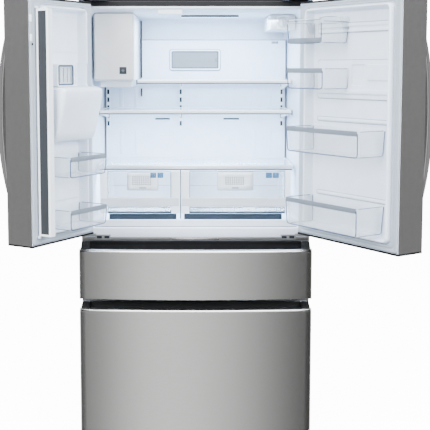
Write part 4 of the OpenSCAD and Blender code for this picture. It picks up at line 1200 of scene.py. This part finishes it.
def crisper(side, post_edges):
    """A clear crisper: tub, front pane, grip band, white posts, a cross line, a foot and blue edges.
    """
    node = f"crisper_{side}"
    low, high = span(node)
    body = name = f"{side}_crisper"
    front = low.y + 5
    tub_low = Vector((low.x + 12, front + 5, low.z + 3))
    tub_high = Vector((high.x - 10, high.y, high.z - 10))
    bin_shape(body, tub_low, tub_high, 2.4, 8, 20).make(f"{name}_tub", "clear", replaces=node)
    pane = Drawing(body).rings((low.x + 1, low.z + 1), (high.x - 1, high.z - 1),
                               ((0, 5, front + 6), (0, 5, front + 1), (1.5, 4, front)),
                               capped=True)
    pane.make(f"{name}_pane", "clear", bevel=0.4)
    band = rounded([(front + 1, GRIP_LOW), (front - 2.5, GRIP_LOW + 2), (front - 5, GRIP_LOW + 10),
                    (front - 5, GRIP_HIGH - 7), (front - 2.5, GRIP_HIGH - 1),
                    (front + 1, GRIP_HIGH)], 3)
    grip = Drawing(body).along(band, low.x + 3, high.x - 3)
    grip.make(f"{name}_grip", "clear", "grip_grey", bevel=0.3)
    posts = Drawing(body)
    for left, right in post_edges:
        posts.block((left, front - 3.4, low.z + 0.5), (right, front + 7, high.z - 0.5), 3)
    posts.make(f"{name}_posts", "part_white")
    line = Drawing(body).block((low.x + 4, front - 1.2, LINE_Z),
                               (high.x - 4, front + 1, LINE_Z + 2.4), 0.6)
    line.make(f"{name}_lines", "clear", "frosted_grey")
    left, right = sorted(x for pair in post_edges for x in pair)[1:3]
    foot = Drawing(body).block((left, front - 1.4, low.z + 0.5), (right, front + 2, low.z + 8), 1)
    foot.make(f"{name}_foot", "clear", "slate_blue")
    left, right = left + 2, right - 2
    edges = Drawing(body)
    paths = [((left, z), (right, z)) for z in (high.z - 4, GRIP_LOW - 1.5)]
    for x in (left, right):
        paths += [((x, low.z + 6), (x, GRIP_LOW - 4)), ((x, GRIP_HIGH), (x, high.z - 5))]
    for path in paths:
        edges.tube(upright(path, front - 0.6), 1.1)
    edges.make(f"{name}_edges", "clear", "edge_blue")
    return front


def crisper_vent(side, low, high, dots_low, dots_high, front):
    """The humidity slider: a frosted plate with rows of small holes and a thumb slide."""
    body = f"{side}_crisper"
    columns, rows = 9, 5
    holes = []
    for i in range(columns):
        for k in range(rows):
            x = dots_low[0] + (dots_high[0] - dots_low[0]) * (i + 0.5) / columns
            z = dots_low[1] + (dots_high[1] - dots_low[1]) * (k + 0.5) / rows
            holes.append(((x - 2.2, z - 2.2), (x + 2.2, z + 2.2)))
    plate = Drawing(body).pierced_plate(low, high, holes, front - 2.2)
    plate.make(f"{side}_vent_plate", "part_white", solid=1.6)
    back = Drawing(body).block((dots_low[0] - 2, front - 0.6, dots_low[1] - 2),
                               (dots_high[0] + 2, front + 0.4, dots_high[1] + 2), 0.4)
    back.make(f"{side}_vent_back", "clear", "rail_grey")
    rim = Drawing(body).rings(low, high, ((-2, 6, front), (-2, 6, front - 2.6),
                                          (1.5, 4, front - 3), (1.5, 4, front)), looped=True)
    middle = (low[0] + high[0]) / 2
    rim.block((middle - 14, front - 4.5, low[1] + 6), (middle + 14, front - 2, low[1] + 13), 2)
    rim.make(f"{side}_vent_rim", "clear", "frosted_grey", bevel=0.3)


def crisper_marks(side, ring_x, bars_x, front):
    """Two small square marks with a generic ring and bars."""
    body = f"{side}_crisper"
    marks = Drawing(body)
    for x in (ring_x, bars_x):
        marks.block((x, front - 4, MARK_Z), (x + MARK_SIZE, front - 1, MARK_Z + 23), 1.2)
    marks.make(f"{side}_crisper_marks", "clear", "badge_blue")
    lines = Drawing(body)
    points = circle((ring_x + MARK_SIZE / 2, MARK_Z + 11.5), 6, 12)
    for a, b in zip(points, points[1:] + points[:1]):
        x, z = (a[0] + b[0]) / 2, (a[1] + b[1]) / 2
        lines.block((x - 1.3, front - 4.5, z - 1.3), (x + 1.3, front - 3.7, z + 1.3), 0.4)
    for k in range(3):
        z = MARK_Z + 5 + 5.5 * k
        lines.block((bars_x + 6, front - 4.5, z), (bars_x + MARK_SIZE - 6, front - 3.7, z + 2.2), 0.4)
    lines.make(f"{side}_mark_lines", "clear", "frosted_clear")


def crispers():
    left_low, left_high = span("crisper_left")
    right_low, right_high = span("crisper_right")
    front = crisper("left", ((left_high.x - 35, left_high.x), (left_low.x, left_low.x + 30)))
    crisper("right", ((right_low.x, right_low.x + 33), (right_high.x - 22, right_high.x)))
    crisper_vent("left", (-279, 1007), (-155, 1078), (-262, 1026), (-182, 1065), front)
    crisper_vent("right", (91, 1007), (235, 1081), (120, 1028), (200, 1063), front)
    crisper_marks("left", -186, -157, front)
    crisper_marks("right", 288, 317, front)


# ------------------------------------------------------------------ outside and back

def rear_screws(sides, back):
    """Pan head screws with a cross recess, round the rear panel."""
    spots = [(x, z) for x in sides for z in (60, 300, 560, 820, 1080, 1340, 1600, 1745)]
    spots += [(x, 1750) for x in (-300, -150, 0, 150, 300)]
    spots += [(x, 312) for x in (-330, -165, 0, 165, 330)]
    radius = 4
    heads, recesses = Drawing(), Drawing()
    for x, z in spots:
        heads.loft([upright(circle((x, z), radius * share, 12), back + out)
                    for share, out in ((1, 0), (0.96, 0.9), (0.7, 1.7), (0.3, 1.9))], capped=True)
        for wide, tall in ((radius * 0.55, 0.45), (0.45, radius * 0.55)):
            recesses.block((x - wide, back + 1.4, z - tall), (x + wide, back + 2.05, z + tall),
                           0.15, 1)
    heads.make("rear_screws", "zinc_steel", "screw_steel")
    recesses.make("rear_screws_recess", "dark_plastic", "slot_black")


def rear_details():
    low, high = span("back_panel")
    back = high.y
    rear_screws((low.x + 14, high.x - 14), back)
    # pressed stiffening panels on the sheet
    ribs = Drawing()
    for bottom, top in ((360, 780), (840, 1240), (1300, 1710)):
        for left, right in ((-420, -20), (20, 420)):
            ribs.rings((left, bottom), (right, top),
                       ((0, 16, back - 0.3), (2, 16, back + 0.8), (7, 16, back + 1.4),
                        (12, 16, back + 0.8), (14, 16, back - 0.3)))
    ribs.make("rear_ribs", "zinc_steel")
    # the seams over the compressor's cover and down both sides
    seam_bars = Drawing().block((low.x + 4, back - 0.4, 318), (high.x - 4, back + 1.6, 330), 0.7)
    for x in (low.x + 1, high.x - 9):
        seam_bars.block((x, back - 0.6, low.z + 2), (x + 8, back + 1, high.z - 4), 0.7)
    seam_bars.make("rear_seams", "zinc_steel")
    pins = Drawing()
    for x, z in ((262, 214), (274, 214), (268, 208)):
        pins.block((x - 1.2, back + 1, z - 2.5), (x + 1.2, back + 6, z + 2.5), 0.4)
    pins.make("inlet_pins", "zinc_steel", "screw_steel")


def dispenser_details():
    """Touch marks on the dark panel, and a nozzle in the dispenser."""
    low, high = span("dispenser_panel", "left_door")
    middle = (low.x + high.x) / 2
    marks = Drawing("left_door")
    for i in range(-2, 3):
        ring_x = middle + i * 36
        y = front_line(ring_x)
        for x, z in circle((ring_x, 1424), 8, 12):
            marks.block((x - 1.1, y - 0.9, z - 1.1), (x + 1.1, y + 0.6, z + 1.1), 0.3, 1)
    marks.block((middle - 40, front_line(middle - 40) - 0.6, 1460),
                (middle + 40, front_line(middle) + 1.2, 1462), 0.4)
    marks.make("touch_marks", "black_glass", "rail_grey")
    rings = ((26, 1394), (26, 1384), (22, 1368), (16, 1358), (13, 1357), (12, 1362), (12, 1392))
    nozzle = Drawing("left_door").loft([flat(circle((middle, 40), r, 24), z) for r, z in rings],
                                       looped=True)
    nozzle.make("dispenser_nozzle", "dark_plastic")


# ------------------------------------------------------------------ stage

CAMERA = Vector((0, -3639, 1507.5))      # in the cabinet's millimetres
TILT = 5.5                               # degrees below level
LENS = 79.51                             # millimetres, on a 36 mm sensor
SHIFT = (0.0452, -0.1301)                # shares of the picture's width


def camera():
    data = bpy.data.cameras.new("camera")
    data.lens = LENS
    data.sensor_width = 36
    data.shift_x, data.shift_y = SHIFT
    data.clip_end = 200
    bpy.context.scene.camera = new_object("camera", data, CABINET @ CAMERA,
                                          (math.radians(90 - TILT), 0, 0))


def area_light(name, at, towards, size, power, colour=(1, 1, 1), glossy=False):
    data = bpy.data.lights.new(name, "AREA")
    data.shape = "RECTANGLE"
    data.size, data.size_y = size
    data.energy = power
    data.color = colour
    aim = (Vector(towards) - Vector(at)).to_track_quat("-Z", "Y").to_euler()
    obj = new_object(name, data, at, aim)
    obj.visible_glossy = glossy
    obj.visible_camera = False


def lights():
    """Large soft lights; only the one overhead shows in the steel, as the lips' highlight."""
    pale = (0.92, 0.965, 1.0)
    area_light("key", (-3.2, -3.2, 2.6), (0, 0, 1.0), (2.6, 2.6), 520, pale)
    area_light("fill", (3.2, -3.2, 2.4), (0, 0, 1.1), (2.4, 2.4), 480, pale)
    area_light("back", (0, 4.2, 3.6), (0, 0, 1.0), (4, 2), 90)
    area_light("overhead", (0, -1.6, 4.0), (0, -0.5, 0.8), (3.6, 1.8), 150, glossy=True)
    cool = (0.70, 0.85, 1.0)
    # name, place and aim in the cabinet, size in metres, power
    for name, at, towards, size, power in (
            ("cabinet_lamp", (60, 330, 1705), (60, 380, 900), (0.55, 0.22), 11),
            ("shelf_lamp", (0, 300, 1300), (0, 440, 1000), (0.6, 0.15), 5),
            ("crisper_lamp", (-225, 300, 1078), (-225, 430, 900), (0.28, 0.1), 6),
            ("crisper_lamp", (165, 300, 1078), (165, 430, 900), (0.28, 0.1), 6)):
        area_light(name, CABINET @ Vector(at), CABINET @ Vector(towards), size, power, cool)


def world():
    """Soft surroundings: a bright band ahead of the doors between two darker sides."""
    scene_world = bpy.data.worlds.new("studio")
    bpy.context.scene.world = scene_world
    scene_world.use_nodes = True
    tree = scene_world.node_tree
    tree.nodes.clear()
    coords = add(tree, "TexCoord", {}, "Generated")
    parts = add(tree, "SeparateXYZ", {"Vector": coords}).node.outputs

    def maths(operation, a, b):
        return add(tree, "Math", {0: a, 1: b}, operation=operation)
    # azimuth in degrees, 0 ahead of the doors, and the brightness at some azimuths
    turn = maths("ARCTAN2", parts["X"], maths("MULTIPLY", parts["Y"], -1))
    azimuth = maths("MULTIPLY", turn, 180 / math.pi)
    reach = 90
    stops = ((-90, 0.44), (-52, 0.38), (-35, 0.1), (-23, 0.08), (-15, 0.34), (-8, 1.4),
             (-2, 1.35), (6, 0.85), (12, 0.36), (18, 0.05), (34, 0.05), (52, 0.36))
    place = maths("DIVIDE", maths("ADD", azimuth, reach), 2 * reach)
    band = add(tree, "ValToRGB", {"Fac": place}, "Color")
    elements = band.node.color_ramp.elements
    while len(elements) < len(stops):
        elements.new(0.5)
    for element, (degrees, _) in zip(elements, stops):
        element.position = (degrees + reach) / (2 * reach)
    for element, (_, value) in zip(elements, stops):
        element.color = (value, value, value, 1)
    # bright overhead, which the lips of the drawers catch
    zenith = add(tree, "MapRange", {"Value": parts["Z"], "From Min": 0.25, "From Max": 0.7,
                                    "To Max": 1}, "Result")
    sky = add(tree, "Mix", {"Factor": zenith, "A": band, "B": (1.15, 1.15, 1.15, 1)}, "Result",
              data_type="RGBA")
    plain = add(tree, "Background", {"Color": (1, 1, 1, 1), "Strength": 14.0})
    seen = add(tree, "LightPath", {}, "Is Camera Ray")
    choice = add(tree, "MixShader", {"Fac": seen, 1: add(tree, "Background", {"Color": sky}),
                                     2: plain})
    output = tree.nodes.new("ShaderNodeOutputWorld")
    feed(output, {"Surface": choice})


def floor():
    """A white ground that glows for the camera and casts nothing on the object."""
    bm = bmesh.new()
    bmesh.ops.create_grid(bm, x_segments=8, y_segments=8, size=40)
    mesh = bpy.data.meshes.new("floor")
    bm.to_mesh(mesh)
    bm.free()
    material = moulded("floor_white", (0.93, 0.93, 0.93), 0.7, 60, 0.02, shine=0)
    feed(material.node_tree.nodes["Principled BSDF"],
         {"Emission Color": (1, 1, 1, 1), "Emission Strength": 12})
    mesh.materials.append(material)
    obj = new_object("floor", mesh, (0, 0, -0.0005))
    obj.visible_glossy = False
    obj.visible_diffuse = False


# ------------------------------------------------------------------ making

camera()
world()
lights()
floor()
finish_cad_nodes()
fresh_liner()
sill()
frame_trims()
duct_details()
filter_cover()
ladders()
shelf_details()
ice_maker()
water_filter()
lamp_details()
crisper_bay()
left_door()
right_door()
drawer_details()
crispers()
rear_details()
dispenser_details()
